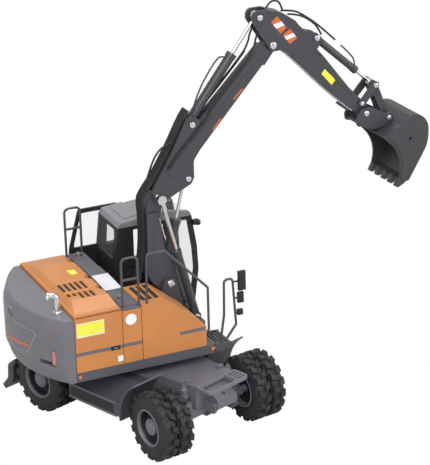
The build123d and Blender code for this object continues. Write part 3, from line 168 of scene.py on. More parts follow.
class Shader:
    """A procedural material under construction: its node tree and principled surface."""

    def __init__(self, name, color, roughness, metallic=0.0):
        self.material = bpy.data.materials.new(name)
        self.material.use_nodes = True
        self.tree = self.material.node_tree
        self.surface = self.tree.nodes["Principled BSDF"]
        self.surface.inputs["Base Color"].default_value = (*color, 1)
        self.surface.inputs["Roughness"].default_value = roughness
        self.surface.inputs["Metallic"].default_value = metallic
        self.place = self.node("ShaderNodeTexCoord").outputs["Object"]
        self.normal = None

    def node(self, kind, **settings):
        """Add a node, with properties set and inputs given by name or linked from a socket."""
        made = self.tree.nodes.new(kind)
        for key, value in settings.items():
            if hasattr(made, key) and key not in made.inputs:
                setattr(made, key, value)
                continue
            socket = made.inputs[key]
            if isinstance(value, bpy.types.NodeSocket):
                self.tree.links.new(value, socket)
            else:
                socket.default_value = value
        return made

    def noise(self, size, detail=2.0):
        """Noise whose grains are about size millimetres across, from 0 to 1."""
        made = self.node("ShaderNodeTexNoise", Scale=1 / (size * MM), Detail=detail, Vector=self.place)
        return made.outputs["Fac"]

    def vary_color(self, color, value, depth):
        """Lighten and darken the base colour by a 0 to 1 value, by up to depth each way."""
        ramp = self.node("ShaderNodeValToRGB", Fac=value)
        for element, sign in zip(ramp.color_ramp.elements, (-1, 1)):
            element.color = (*[max(0.0, c * (1 + sign * depth)) for c in color], 1)
        ramp.color_ramp.elements[0].position = DRIFT_START
        ramp.color_ramp.elements[1].position = DRIFT_STOP
        self.tree.links.new(ramp.outputs["Color"], self.surface.inputs["Base Color"])

    def vary_roughness(self, value, low, high):
        """Set the roughness from low to high by a 0 to 1 value."""
        spread = self.node("ShaderNodeMapRange", Value=value)
        spread.inputs["To Min"].default_value = low
        spread.inputs["To Max"].default_value = high
        self.tree.links.new(spread.outputs["Result"], self.surface.inputs["Roughness"])

    def soften(self, radius):
        """Round the edges' shading over a radius in millimetres."""
        made = self.node("ShaderNodeBevel", samples=4, Radius=radius * MM)
        self.normal = made.outputs["Normal"]
        self.tree.links.new(self.normal, self.surface.inputs["Normal"])

    def bump(self, value, depth):
        """Raise the surface by a 0 to 1 value, by depth millimetres."""
        settings = {"Height": value, "Distance": depth * MM, "Strength": 1.0}
        if self.normal is not None:
            settings["Normal"] = self.normal
        made = self.node("ShaderNodeBump", **settings)
        self.normal = made.outputs["Normal"]
        self.tree.links.new(self.normal, self.surface.inputs["Normal"])


def painted(name, color, roughness=0.42, grain=0.25, grain_depth=0.008, coat=0.0, shine=0.5):
    """Satin paint over a casting: slow colour drift, fine grain, uneven gloss, softened edges."""
    shader = Shader(name, color, roughness)
    shader.soften(0.12)
    shader.vary_color(color, shader.noise(9.0, 3.0), 0.05)
    shader.vary_roughness(shader.noise(3.0, 4.0), roughness - 0.07, roughness + 0.07)
    shader.bump(shader.noise(grain, 3.0), grain_depth)
    shader.surface.inputs["Coat Weight"].default_value = coat
    shader.surface.inputs["Coat Roughness"].default_value = 0.2
    shader.surface.inputs["Specular IOR Level"].default_value = shine
    return shader.material


def tread_plate(name, color):
    """Painted anti-slip sheet with a fine raised pattern."""
    shader = Shader(name, color, 0.5)
    shader.soften(0.1)
    shader.vary_color(color, shader.noise(5.0, 3.0), 0.08)
    cells = shader.node("ShaderNodeTexVoronoi", Scale=1 / (0.42 * MM), Vector=shader.place)
    shader.vary_roughness(shader.noise(2.0, 3.0), 0.42, 0.6)
    shader.bump(cells.outputs["Distance"], 0.05)
    return shader.material


def printed(name, color, roughness=0.45):
    """Printed film on paint: even colour with a faint drift and a slightly uneven gloss."""
    shader = Shader(name, color, roughness)
    shader.vary_color(color, shader.noise(2.0, 3.0), 0.03)
    shader.vary_roughness(shader.noise(1.0, 3.0), roughness - 0.05, roughness + 0.05)
    shader.bump(shader.noise(0.3, 2.0), 0.004)
    return shader.material


def chrome(name, color, roughness):
    """Bright drawn metal with faint wear."""
    shader = Shader(name, color, roughness, 1.0)
    shader.vary_roughness(shader.noise(0.8, 3.0), roughness * 0.6, roughness * 1.6)
    shader.bump(shader.noise(0.15, 2.0), 0.002)
    return shader.material


def moulded_rubber(name, color, bloom=0.25, grain=0.2):
    """Matt moulded rubber with a dusty bloom."""
    shader = Shader(name, color, 0.62)
    shader.surface.inputs["Specular IOR Level"].default_value = 0.4
    shader.soften(0.18)
    shader.vary_color(color, shader.noise(4.0, 4.0), bloom)
    shader.vary_roughness(shader.noise(1.2, 4.0), 0.5, 0.72)
    shader.bump(shader.noise(grain, 3.0), 0.015)
    return shader.material


def glazing(name):
    """Thin clear plastic window, faintly grey, with light wiping marks."""
    shader = Shader(name, (0.4, 0.41, 0.42), 0.03)
    shader.surface.inputs["Alpha"].default_value = 0.08
    shader.vary_roughness(shader.noise(6.0, 3.0), 0.01, 0.06)
    shader.bump(shader.noise(5.0, 2.0), 0.002)
    return shader.material


def lens(name, color):
    """Coloured clear lens with fine ribs moulded in."""
    shader = Shader(name, color, 0.18)
    shader.surface.inputs["Coat Weight"].default_value = 0.6
    shader.vary_color(color, shader.noise(0.8, 2.0), 0.12)
    ribs = shader.node("ShaderNodeTexWave", Scale=1 / (0.5 * MM), Distortion=0.0, Vector=shader.place)
    ribs.bands_direction = "Z"
    shader.bump(ribs.outputs["Fac"], 0.03)
    return shader.material


orange_paint = painted("orange_paint", (0.52, 0.2, 0.055), 0.4, coat=0.15)
body_paint = painted("body_grey_paint", (0.142, 0.141, 0.16), 0.42, coat=0.1)
deck_paint = painted("deck_grey_paint", (0.078, 0.078, 0.09), 0.45)
arm_paint = painted("arm_grey_paint", (0.045, 0.044, 0.052), 0.38, coat=0.08)
boom_paint = painted("boom_grey_paint", (0.056, 0.055, 0.067), 0.38, coat=0.1)
bucket_paint = painted("bucket_grey_paint", (0.042, 0.041, 0.047), 0.42, 0.5, 0.02)
chassis_paint = painted("chassis_grey_paint", (0.128, 0.128, 0.15), 0.45)
step_paint = painted("step_grey_paint", (0.15, 0.15, 0.17), 0.42)
cab_paint = painted("cab_grey_paint", (0.02, 0.02, 0.023), 0.42, shine=0.3)
roof_paint = painted("roof_grey_paint", (0.2, 0.2, 0.215), 0.45, 0.18, 0.02)
rail_paint = painted("rail_grey_paint", (0.062, 0.062, 0.072), 0.4)
black_plastic = painted("black_plastic", (0.012, 0.012, 0.014), 0.45)
seat_cloth = painted("seat_cloth", (0.02, 0.02, 0.022), 0.8, 0.3, 0.05)
bright_metal = chrome("bright_metal", (0.78, 0.78, 0.79), 0.16)
dull_metal = chrome("dull_metal", (0.42, 0.42, 0.44), 0.3)
mirror_glass = chrome("mirror_glass", (0.5, 0.52, 0.55), 0.06)
tyre_rubber = moulded_rubber("tyre_rubber", (0.024, 0.024, 0.026))
hose_rubber = moulded_rubber("hose_rubber", (0.014, 0.014, 0.015), 0.15, 0.12)
rim_paint = painted("rim_grey_paint", (0.15, 0.149, 0.17), 0.38, coat=0.2)
# The rim's dish is coloured near black, much darker than its grey lip
rim_dark = painted("rim_dish_dark", (0.018, 0.018, 0.021), 0.45, shine=0.3)
guard_paint = painted("guard_grey_paint", (0.065, 0.064, 0.074), 0.42)
window_glass = glazing("window_glass")
orange_lens = lens("orange_lens", (0.75, 0.16, 0.03))
red_lens = lens("red_lens", (0.52, 0.2, 0.17))
walk_plate = tread_plate("walk_plate_grey", (0.095, 0.095, 0.11))
# Pale copy of the walkway's grey tread plate: painted highlight
walk_highlight_plate = tread_plate("walk_plate_painted_highlight", (0.62, 0.62, 0.66))
print_yellow = printed("print_yellow", (0.78, 0.74, 0.07))
print_cream = printed("print_cream", (0.72, 0.7, 0.52))
print_white = printed("print_white", (0.8, 0.8, 0.8))
print_grey = printed("print_grey", (0.125, 0.115, 0.125))
print_orange = printed("print_orange", (0.56, 0.13, 0.035))
print_line = printed("print_line_orange", (0.3, 0.15, 0.06))
# Pale copy of the counterweight's grey, for a painted highlight along a raised edge
panel_edge_highlight = printed("painted_highlight_pale_grey", (0.3, 0.3, 0.32))
# Black for painted shade in the hood's gaps, the slots' floors and the lifting eye's hole
painted_shade_black = printed("painted_shade_black", (0.01, 0.01, 0.011), 0.5)

NODE_FINISH = {
    "engine_housing": orange_paint, "centre_housing": orange_paint, "front_box": orange_paint,
    "engine_hood": orange_paint, "counterweight": body_paint, "platform": deck_paint, "walkway": walk_plate,
    "deck_rails": rail_paint, "front_rail": rail_paint, "front_steps": rail_paint, "mirrors": black_plastic,
    "exhaust": bright_metal, "filler_caps": dull_metal, "reflectors": orange_lens, "tail_lamps": red_lens,
    "cab_shell": cab_paint, "cab_door": cab_paint, "cab_roof": roof_paint, "cab_lamp": black_plastic,
    "cab_glass": window_glass, "door_glass": window_glass, "driver_seat": seat_cloth,
    "chassis_frame": chassis_paint, "rear_axle": chassis_paint, "knuckle_right": chassis_paint,
    "knuckle_left": chassis_paint, "side_boxes": guard_paint, "front_mudguards": guard_paint,
    "front_step": step_paint, "front_axle": step_paint, "blade": arm_paint,
    "boom_bracket": boom_paint, "base_boom": boom_paint, "upper_boom": arm_paint, "dipper": arm_paint,
    "rocker": arm_paint, "link": arm_paint, "coupler": arm_paint, "bucket": bucket_paint,
    "hoist_barrels": arm_paint, "adjust_barrel": arm_paint, "dipper_barrel": arm_paint,
    "bucket_barrel": arm_paint, "hoist_rods": bright_metal, "adjust_rod": bright_metal,
    "dipper_rod": bright_metal, "bucket_rod": bright_metal,
    "hoses_base": hose_rubber, "hoses_boom": hose_rubber, "hoses_arm": hose_rubber,
}
for node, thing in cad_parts.items():
    finish = NODE_FINISH.get(node)
    if node.startswith("tyres"):
        finish = tyre_rubber
    if node.startswith("rim"):
        finish = rim_paint
    if finish is None:
        continue
    thing.data.materials.clear()
    thing.data.materials.append(finish)

# Pieces of the scene, gathered in millimetres. A turned form closes at a small tip, not at a point.
# Faces turn by more than the sharp angle at an edge that stays crisp
TIP = 0.02
SHARP_ANGLE = math.radians(32)


def band(first, count):
    """Faces between a ring of points, whose first index is given, and the ring that follows it."""
    faces = []
    for index in range(count):
        after = (index + 1) % count
        faces.append((first + index, first + after, first + count + after, first + count + index))
    return faces


class Solid:
    """Vertices and faces of one piece, in millimetres, in the frame of a matrix."""

    def __init__(self, place=None):
        self.place = place or Matrix.Identity(4)
        self.points = []
        self.faces = []

    def add(self, points, faces):
        first = len(self.points)
        self.points += [self.place @ Vector(point) for point in points]
        self.faces += [[first + index for index in face] for face in faces]

    def prism(self, corners, lift):
        """Closed outline of flat corners, lifted by a vector."""
        count = len(corners)
        low = [Vector(corner) for corner in corners]
        high = [corner + Vector(lift) for corner in low]
        self.add(low + high, [tuple(range(count))[::-1], tuple(range(count, 2 * count))] + band(0, count))

    def box(self, low, high):
        """Block between two corners."""
        (a, b, c), (d, e, f) = low, high
        self.prism([(a, b, c), (d, b, c), (d, e, c), (a, e, c)], (0, 0, f - c))

    def lathe(self, rows, centre, axis, sides=48, ring=False):
        """Rows of (radius, along) turned about an axis: both ends closed, or a hollow ring."""
        rows = list(rows) + (list(rows[:1]) if ring else [])
        along = Vector(axis).normalized()
        side = along.orthogonal().normalized()
        other = along.cross(side)
        points = []
        for radius, at in rows:
            for index in range(sides):
                turn = math.tau * index / sides
                spoke = side * math.cos(turn) + other * math.sin(turn)
                points.append(Vector(centre) + along * at + spoke * radius)
        faces = []
        for row in range(len(rows) - 1):
            faces += band(row * sides, sides)
        if not ring:
            faces.append(tuple(range(sides))[::-1])
            faces.append(tuple(range((len(rows) - 1) * sides, len(rows) * sides)))
        self.add(points, faces)

    def dome(self, centre, axis, radius, height):
        """Domed pin head standing on a face, with a narrow step round it."""
        rows = [(radius, -0.15), (radius, height * 0.35), (radius * 0.93, height * 0.5)]
        for turn in (0.5, 0.9, 1.25):
            rows.append((radius * math.cos(turn), height * (0.5 + 0.5 * math.sin(turn))))
        rows.append((TIP, height))
        self.lathe(rows, centre, axis, 24)

    def make(self, name, finish, body, slot, replaced=(), smooth=True):
        """Turn what was gathered into a piece that rides on a body."""
        mesh = bpy.data.meshes.new(name)
        mesh.from_pydata([point * MM for point in self.points], [], self.faces)
        mesh.materials.append(finish)
        if smooth:
            mesh.shade_smooth()
            mesh.set_sharp_from_angle(angle=SHARP_ANGLE)
        thing = bpy.data.objects.new(name, mesh)
        bpy.context.scene.collection.objects.link(thing)
        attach(thing, body)
        if replaced:
            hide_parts(*replaced)


def prism_piece(name, corners, lift, finish, body, slot, smooth=False):
    """Piece that is one lifted outline."""
    solid = Solid()
    solid.prism(corners, lift)
    solid.make(name, finish, body, slot, smooth=smooth)


def box_piece(name, boxes, finish, slot, smooth=True):
    """Piece of blocks on the upper carriage, each given by its two corners."""
    solid = Solid()
    for low, high in boxes:
        solid.box(low, high)
    solid.make(name, finish, "superstructure", slot, smooth=smooth)


def rectangle(low_x, high_x, low_z, high_z):
    """Corners (x, z) of an upright rectangle."""
    return [(low_x, low_z), (high_x, low_z), (high_x, high_z), (low_x, high_z)]


def hose_curve(name, runs, radius, finish=hose_rubber, steps=6, roundness=3):
    """Curve object with one smooth NURBS hose for each run of points in millimetres."""
    data = bpy.data.curves.new(name, "CURVE")
    data.dimensions = "3D"
    data.bevel_depth = radius * MM
    data.bevel_resolution = roundness
    data.resolution_u = steps
    data.use_fill_caps = True
    for run in runs:
        spline = data.splines.new("NURBS")
        spline.points.add(len(run) - 1)
        for point, place in zip(spline.points, run):
            point.co = (*[value * MM for value in place], 1)
        spline.order_u = 3
        spline.use_endpoint_u = True
    data.materials.append(finish)
    thing = bpy.data.objects.new(name, data)
    bpy.context.scene.collection.objects.link(thing)
    return thing


def fixed_hoses(name, runs, radius, body, replaced=()):
    """Hoses that stay on one body."""
    thing = hose_curve(name, runs, radius)
    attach(thing, body)
    if replaced:
        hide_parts(*replaced)


def bridging_hoses(name, runs, radius):
    """Hoses that run across a pivot between two bodies, made into one fixed mesh on no body."""
    curve = hose_curve(name + "_route", runs, radius, steps=12)
    bpy.context.view_layer.update()
    shape = curve.evaluated_get(bpy.context.evaluated_depsgraph_get())
    mesh = bpy.data.meshes.new_from_object(shape)
    mesh.name = name
    bpy.data.objects.remove(curve)
    thing = bpy.data.objects.new(name, mesh)
    bpy.context.scene.collection.objects.link(thing)
    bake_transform(thing)


# Wheels: smooth twin tyres with their lugs, and rims with a pale lip round a dark dish
TYRE_RADIUS = 11.1
TYRE_WIDTH = 5.1
TWIN_GAP = 0.6
WHEEL_BACK = -2 * TYRE_WIDTH - TWIN_GAP
KINGPIN_SIDE = 12.0
KINGPIN_TO_FACE = 13.0
HUB = (0, 0, 0)
AXLE_LINE = (0, 1, 0)
TYRE_SIDES = 72
RIM_SIDES = 64
LUGS_PER_ROW = 16
LUG_FOOT = 9.6
LUG_SHELF = TYRE_RADIUS - 0.22
HUB_BOLTS = 8
BOLT_CIRCLE = 2.15
TYRE_WALL = [
    # radius, depth past the tyre's side
    (6.12, -0.35), (6.2, -0.08), (6.45, 0.0), (7.1, 0.0), (7.25, 0.06), (7.45, 0.0), (8.6, -0.03),
    (9.2, -0.16), (9.7, -0.42), (10.02, -0.75), (10.12, -1.2),
]
WHEELS = [
    # name, axle's place along the undercarriage, side (left is 1), steering angle
    ("front_right", 35.5, -1, -10.7), ("front_left", 35.5, 1, -10.7),
    ("rear_right", -18.5, -1, 0.0), ("rear_left", -18.5, 1, 0.0),
]


def add_tyre(solid, outer):
    """One tyre in the wheel's frame, its outer side at y = outer."""
    inner = outer - TYRE_WIDTH
    middle = outer - TYRE_WIDTH / 2
    rows = [(radius, outer + depth) for radius, depth in TYRE_WALL]
    rows += [(radius, inner - depth) for radius, depth in TYRE_WALL[::-1]]
    solid.lathe(rows, HUB, AXLE_LINE, TYRE_SIDES, ring=True)
    lug_rows = [(outer - 0.3, middle + 0.1, 1), (inner + 0.3, middle - 0.1, -1)]
    for row, (edge, inward, sense) in enumerate(lug_rows):
        foot = [(-1.2, edge), (1.2, edge), (1.75, inward), (-0.1, inward)]
        shelf = [(-1.15, edge - 0.12 * sense), (1.15, edge - 0.12 * sense), (1.68, inward + 0.06 * sense),
                 (-0.04, inward + 0.06 * sense)]
        crown = [(-0.95, edge - 0.5 * sense), (0.95, edge - 0.5 * sense), (1.45, inward + 0.2 * sense),
                 (0.15, inward + 0.2 * sense)]
        for index in range(LUGS_PER_ROW):
            turn = Matrix.Rotation(math.tau * (index + 0.5 * row) / LUGS_PER_ROW, 4, "Y")
            points = [turn @ Vector((x, y, LUG_FOOT)) for x, y in foot]
            for outline, reach in ((shelf, LUG_SHELF), (crown, TYRE_RADIUS)):
                points += [turn @ Vector((x, y, math.sqrt(reach ** 2 - x ** 2))) for x, y in outline]
            solid.add(points, [(3, 2, 1, 0), (8, 9, 10, 11)] + band(0, 4) + band(4, 4))


def add_wheel(name, axle, side, steer):
    """Twin tyres, rim, dish and hub bolts of one wheel."""
    turn = steer + (0 if side > 0 else 180)
    place = UNDER @ Matrix.Translation((axle, side * KINGPIN_SIDE, TYRE_RADIUS))
    place = place @ Matrix.Rotation(math.radians(turn), 4, "Z")
    place = place @ Matrix.Translation((0, KINGPIN_TO_FACE, 0))
    body = "wheel_" + name
    tyres = Solid(place)
    add_tyre(tyres, 0.0)
    add_tyre(tyres, -TYRE_WIDTH - TWIN_GAP)
    tyres.make("tyres_" + name + "_moulded", tyre_rubber, body, "tyre", ["tyres_" + name])
    rim = Solid(place)
    rim.lathe([(5.4, -1.1), (5.5, -0.5), (5.58, -0.1), (5.68, 0.02), (5.9, 0.02), (6.08, -0.1),
               (6.14, -0.4), (6.14, WHEEL_BACK + 0.4), (6.05, WHEEL_BACK + 0.1), (5.6, WHEEL_BACK),
               (5.3, WHEEL_BACK + 0.4), (5.0, WHEEL_BACK + 1.4)], HUB, AXLE_LINE, RIM_SIDES, ring=True)
    rim.lathe([(2.75, -3.2), (2.7, -1.15), (2.55, -0.98), (1.75, -0.94), (1.65, -0.72), (1.2, -0.66),
               (TIP, -0.64)], HUB, AXLE_LINE, 40)
    for index in range(HUB_BOLTS):
        angle = math.tau * index / HUB_BOLTS
        centre = (BOLT_CIRCLE * math.cos(angle), 0, BOLT_CIRCLE * math.sin(angle))
        rim.lathe([(0.2, -1.0), (0.2, -0.72), (0.14, -0.66)], centre, AXLE_LINE, 6)
    rim.make("rim_" + name + "_turned", rim_paint, body, "rim_grey", ["rim_" + name])
    dish = Solid(place)
    dish.lathe([(5.46, -0.9), (5.3, -1.3), (4.95, -3.05), (4.5, -3.3), (2.9, -3.35), (TIP, -3.35),
                (TIP, -4.2), (5.06, -4.2)], HUB, AXLE_LINE, RIM_SIDES, ring=True)
    dish.lathe([(TIP, WHEEL_BACK + 2.0), (3.4, WHEEL_BACK + 2.2), (3.5, WHEEL_BACK + 1.9),
                (5.06, WHEEL_BACK + 1.7), (5.06, WHEEL_BACK + 3.0), (TIP, WHEEL_BACK + 3.0)],
               HUB, AXLE_LINE, RIM_SIDES, ring=True)
    dish.make("rim_" + name + "_dish", rim_dark, body, "rim_grey")


for wheel in WHEELS:
    add_wheel(*wheel)

# Stripes, blank plates and trim on the upper carriage, whose flat sides stand at y = SIDE
SIDE = 25.0
PLATE_SUNK = 0.1
STRIPE_Z = (33.0, 34.1)
LOUVRE_HALF = 0.53
NOTCH_HALF = 0.66


def side_plate(name, rows, finish, slot, side=-1, rise=0.07):
    """Thin flat plate with (x, z) corners on the carriage's side."""
    corners = [(x, side * (SIDE - PLATE_SUNK), z) for x, z in rows]
    prism_piece(name, corners, (0, side * (rise + PLATE_SUNK), 0), finish, "superstructure", slot)


side_plate("side_plate_border", rectangle(-27.5, -18.3, 39.2, 44.0), print_cream, "body_orange")
side_plate("side_plate_yellow", rectangle(-27.2, -18.6, 39.7, 43.7), print_yellow, "body_orange", rise=0.1)
side_plate("side_square", rectangle(-14.2, -12.4, 28.5, 30.4), print_white, "body_orange")
for sense, name in ((-1, "right"), (1, "left")):
    side_plate("stripe_rear_" + name, rectangle(-27.9, -12.3, *STRIPE_Z), print_grey, "body_grey", sense)
    side_plate("stripe_middle_" + name, rectangle(-12.1, -5.8, *STRIPE_Z), print_grey, "body_grey", sense)
    # Black strip of painted shade in the gap under the hood's edge
    side_plate("hood_gap_shade_" + name, rectangle(-27.6, -12.3, 45.72, 45.98), painted_shade_black, "black", sense, 0.02)
side_plate("stripe_front_right", rectangle(7.2, 16.0, *STRIPE_Z), print_grey, "body_grey")
side_plate("latch", rectangle(-16.4, -13.4, 32.85, 34.0), black_plastic, "black", rise=0.3)
side_plate("latch_grip", rectangle(-15.5, -14.3, 33.2, 33.6), dull_metal, "black", rise=0.42)
disc = Solid()
disc.lathe([(1.85, -0.1), (1.85, 0.09), (TIP, 0.09)], (-9.3, -SIDE, 42.0), (0, -1, 0), 40)
disc.make("side_disc_white", print_white, "superstructure", "body_orange", smooth=False)
prism_piece("hood_label", [(-18.1, 7.3, 48.1), (-18.1, 3.3, 48.1), (-15.7, 3.3, 48.1), (-15.7, 7.0, 48.1)],
            (0, 0, 0.16), print_yellow, "superstructure", "body_orange")

LOUVRES = [
    # x, y low, y high
    (-24.8, -8.9, -2.3), (-22.95, -8.9, -2.3), (-21.1, -8.9, -2.3), (-19.25, -8.9, -2.3),
    (-17.4, -8.9, -2.3), (-24.8, -13.2, -10.7), (-22.95, -13.2, -10.7), (-21.1, -15.7, -10.7),
    (-19.25, -15.7, -10.7), (-17.4, -15.7, -10.7),
]
# Black floors in the louvres and notches: painted shade in the slots
slot_shades = []
for x, low, high in LOUVRES:
    slot_shades.append(((x - LOUVRE_HALF, low + 0.02, 47.6), (x + LOUVRE_HALF, high - 0.02, 47.86)))
for x in (-3.3, -1.1, 1.1):
    slot_shades.append(((x - NOTCH_HALF, -21.8, 45.9), (x + NOTCH_HALF, -10.4, 46.05)))
box_piece("slot_floor_shade", slot_shades, painted_shade_black, "black", smooth=False)
# A strip of the walkway in the pale copy of its tread plate: painted highlight where light falls on it
WALKWAY_END = [
    # y, z
    (-10.15, 46.35), (1.75, 46.35), (1.75, 47.12), (-10.15, 46.57),
]
prism_piece("walkway_painted_highlight_plate", [(-11.75, y, z) for y, z in WALKWAY_END], (5.6, 0, 0), walk_highlight_plate,
            "superstructure", "deck_grey")

# Tail: orange lines, a pale band of painted highlight along the raised panel's edge, the panel's bar, a
# black disc of painted shade in the lifting eye's hole, the exhaust.
# Its face is an arc seen from above, and draws in over and under the flat heights
TAIL_CENTRE = 1.5
TAIL_RADIUS = 41.8
TAIL_FLAT_TOP = 41.3
TAIL_FLAT_FOOT = 28.4
TAIL_DRAW = 1.3
TAIL_DRAW_HEIGHT = 4.2
RIBBON_STEP = 0.8
RIBBON_SUNK = 0.12
RIBBON_RISE = 0.06


def tail_point(y, z, off):
    """Point on the tail's curved face at a side and a height, off from it."""
    past = max(0.0, z - TAIL_FLAT_TOP, TAIL_FLAT_FOOT - z)
    radius = TAIL_RADIUS - TAIL_DRAW * past / TAIL_DRAW_HEIGHT + off
    return Vector((TAIL_CENTRE - math.sqrt(radius ** 2 - y ** 2), y, z))


def tail_ribbon(name, rows, width, finish, slot, closed=False):
    """Narrow band along (y, z) points on the tail's face."""
    path = [Vector((y, z)) for y, z in rows + (rows[:1] if closed else [])]
    line = []
    for start, stop in zip(path, path[1:]):
        steps = max(2, int((stop - start).length / RIBBON_STEP))
        line += [start.lerp(stop, step / steps) for step in range(steps)]
    line.append(path[-1])
    points = []
    for index, at in enumerate(line):
        ahead = line[min(index + 1, len(line) - 1)] - line[max(index - 1, 0)]
        side = Vector((-ahead.y, ahead.x)).normalized() * width / 2
        a, b = at - side, at + side
        points += [tail_point(a.x, a.y, -RIBBON_SUNK), tail_point(b.x, b.y, -RIBBON_SUNK),
                   tail_point(b.x, b.y, RIBBON_RISE), tail_point(a.x, a.y, RIBBON_RISE)]
    faces = [(3, 2, 1, 0), tuple(len(points) - 4 + i for i in range(4))]
    for index in range(len(line) - 1):
        faces += band(index * 4, 4)
    solid = Solid()
    solid.add(points, faces)
    solid.make(name, finish, "superstructure", slot, smooth=False)


TAIL_LINE = [
    # y, z
    (22.7, 43.6), (21.3, 39.5), (19.0, 35.4), (17.0, 31.9), (15.6, 29.9), (14.2, 29.1), (9.2, 28.3),
    (0.0, 27.2),
]
PANEL_EDGE = [
    # y, z
    (-10.7, 31.2), (-15.1, 38.7), (-14.3, 39.6), (-7.0, 39.4), (7.0, 39.4), (14.3, 39.6), (15.1, 38.7),
    (10.7, 31.2), (3.8, 30.0), (-3.8, 30.0),
]
PANEL_BAR = [(-11.2, 33.7), (-7.2, 33.1), (-3.1, 32.5), (3.1, 31.7), (9.8, 31.0)]
for sense, name in ((-1, "right"), (1, "left")):
    tail_ribbon("tail_line_" + name, [(sense * y, z) for y, z in TAIL_LINE], 0.2, print_line, "body_orange")
# Pale band of painted highlight along the raised panel's edge
tail_ribbon("tail_panel_edge_highlight", PANEL_EDGE, 0.24, panel_edge_highlight, "body_grey", closed=True)
tail_ribbon("tail_bar", PANEL_BAR, 0.85, print_orange, "body_orange")
# Black disc of painted shade in the lifting eye's hole
eye = Solid()
eye.lathe([(0.98, -0.1), (0.98, 0.06), (TIP, 0.06)], (-39.6, 0, 41.4), (-1, 0, 0), 32)
eye.make("tail_eye_shade", painted_shade_black, "superstructure", "black")

chimney_run = [(-30.6, -17.2, 45.4), (-30.6, -17.2, 47.6), (-30.6, -17.2, 50.9), (-31.9, -17.0, 51.5),
               (-33.5, -16.7, 51.4)]
chimney = hose_curve("exhaust_pipe", [chimney_run], 0.95, bright_metal, 12, 6)
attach(chimney, "superstructure")
foot = Solid()
foot.lathe([(1.5, 0.0), (1.5, 0.45), (1.35, 0.62), (0.9, 0.66), (TIP, 0.66)], (-30.6, -17.2, 45.5),
           (0, 0, 1), 32)
foot.lathe([(0.95, -0.6), (1.2, -0.55), (1.25, 0.05), (0.98, 0.1), (0.9, -0.3)], chimney_run[-1],
           (-1, 0.12, -0.05), 32, ring=True)
foot.make("exhaust_foot", bright_metal, "superstructure", "chrome", ["exhaust"])

# Undercarriage trim, in its own frame: black sheets of painted shade for the recesses in the side boxes'
# faces, ledges on those faces, and the axle locks
BOX_SIDE = 23.9
RECESS_SHADE_RISE = 0.16
LEDGE_RISE = 0.3
RECESS_SHADE = rectangle(-3.2, 16.9, 10.7, 14.1)
LEDGES = [rectangle(-4.0, 18.2, 9.8, 10.6), rectangle(-4.0, 18.2, 14.2, 14.9)]
AXLE_LOCK = [
    # radius, height
    (1.3, 16.2), (1.3, 17.2), (1.75, 17.2), (1.75, 17.8), (1.3, 17.8), (1.25, 19.6), (0.9, 20.1),
    (0.9, 20.6), (0.45, 20.7), (0.45, 21.3), (TIP, 21.3),
]
recess_shade = Solid(UNDER)
ledge = Solid(UNDER)
locks = Solid(UNDER)
for sense in (-1, 1):
    recess_shade.prism([(x, sense * BOX_SIDE, z) for x, z in RECESS_SHADE], (0, sense * RECESS_SHADE_RISE, 0))
    for rows in LEDGES:
        ledge.prism([(x, sense * BOX_SIDE, z) for x, z in rows], (0, sense * LEDGE_RISE, 0))
    locks.lathe(AXLE_LOCK, (34.6, sense * 9.9, 0), (0, 0, 1), 28)
    locks.box((33.4, min(sense * 7.8, sense * 9.4), 17.3), (35.6, max(sense * 7.8, sense * 9.4), 19.2))
# Black sheets on the side boxes' faces: painted shade of their recesses
recess_shade.make("side_box_painted_shade", black_plastic, "chassis", "black", smooth=False)
ledge.make("side_box_ledges", chassis_paint, "chassis", "chassis_grey", smooth=False)
locks.make("axle_locks", chassis_paint, "chassis", "chassis_grey")

# Arm: pin heads, hazard plates, label and stripes. Pivots as (x, z) on the arm's middle plane
FOOT = (13.6, 41.4)
ELBOW = (10.8, 71.5)
ADJUST_EYE = (21.3, 76.1)
HOIST_BASE = (21.7, 29.0)
DIPPER_BASE = (23.2, 94.0)
BOOM_END = (52.3, 116.0)
DIPPER_EYE = (47.7, 125.7)
BUCKET_BASE = (68.5, 116.0)
DIPPER_TIP = (85.6, 88.3)
ROCKER_PIN = (84.4, 91.7)
ROCKER_END = (89.5, 97.2)
LINK_END = (94.2, 85.6)
HEAD_HEIGHT = 0.42
PIN_HEADS = [
    # body, pivot, half width at the head, radius
    ("superstructure", FOOT, 4.05, 1.35), ("superstructure", HOIST_BASE, 6.2, 0.95),
    ("upper_boom", ELBOW, 2.9, 1.25), ("upper_boom", ADJUST_EYE, 3.2, 0.95),
    ("upper_boom", DIPPER_BASE, 3.2, 1.0), ("dipper", BOOM_END, 3.1, 1.2),
    ("dipper", DIPPER_EYE, 3.1, 1.0), ("dipper", BUCKET_BASE, 2.4, 1.0), ("dipper", DIPPER_TIP, 4.6, 0.95),
    ("dipper", ROCKER_PIN, 3.65, 0.75), ("rocker", ROCKER_END, 3.7, 0.85), ("bucket", LINK_END, 4.6, 0.85),
]
heads = {}
for body, (x, z), half, radius in PIN_HEADS:
    solid = heads.setdefault(body, Solid())
    for sense in (-1, 1):
        solid.dome((x, sense * half, z), (0, sense, 0), radius, HEAD_HEIGHT)
for body, solid in heads.items():
    solid.make("pin_heads_" + body, bright_metal, body, "chrome")

DIPPER_HALF = 2.8
BOOM_HALF = 2.9
STRIPE_HALF = BOOM_HALF + 0.22
ARM_PLATE_RISE = 0.06
BOTH_SIDES = (-1, 1)
HAZARD_SKEW = 0.12
HAZARD_BANDS = [
    # start and end along the plate, finish
    (0.0, 0.33, print_orange), (0.33, 0.67, print_white), (0.67, 1.0, print_orange),
]
HAZARD_PLATES = [
    # four corners (x, z)
    [(51.7, 123.7), (53.9, 125.4), (57.2, 121.2), (55.0, 119.5)],
    [(55.8, 119.0), (58.5, 120.6), (61.0, 117.2), (58.3, 115.6)],
]


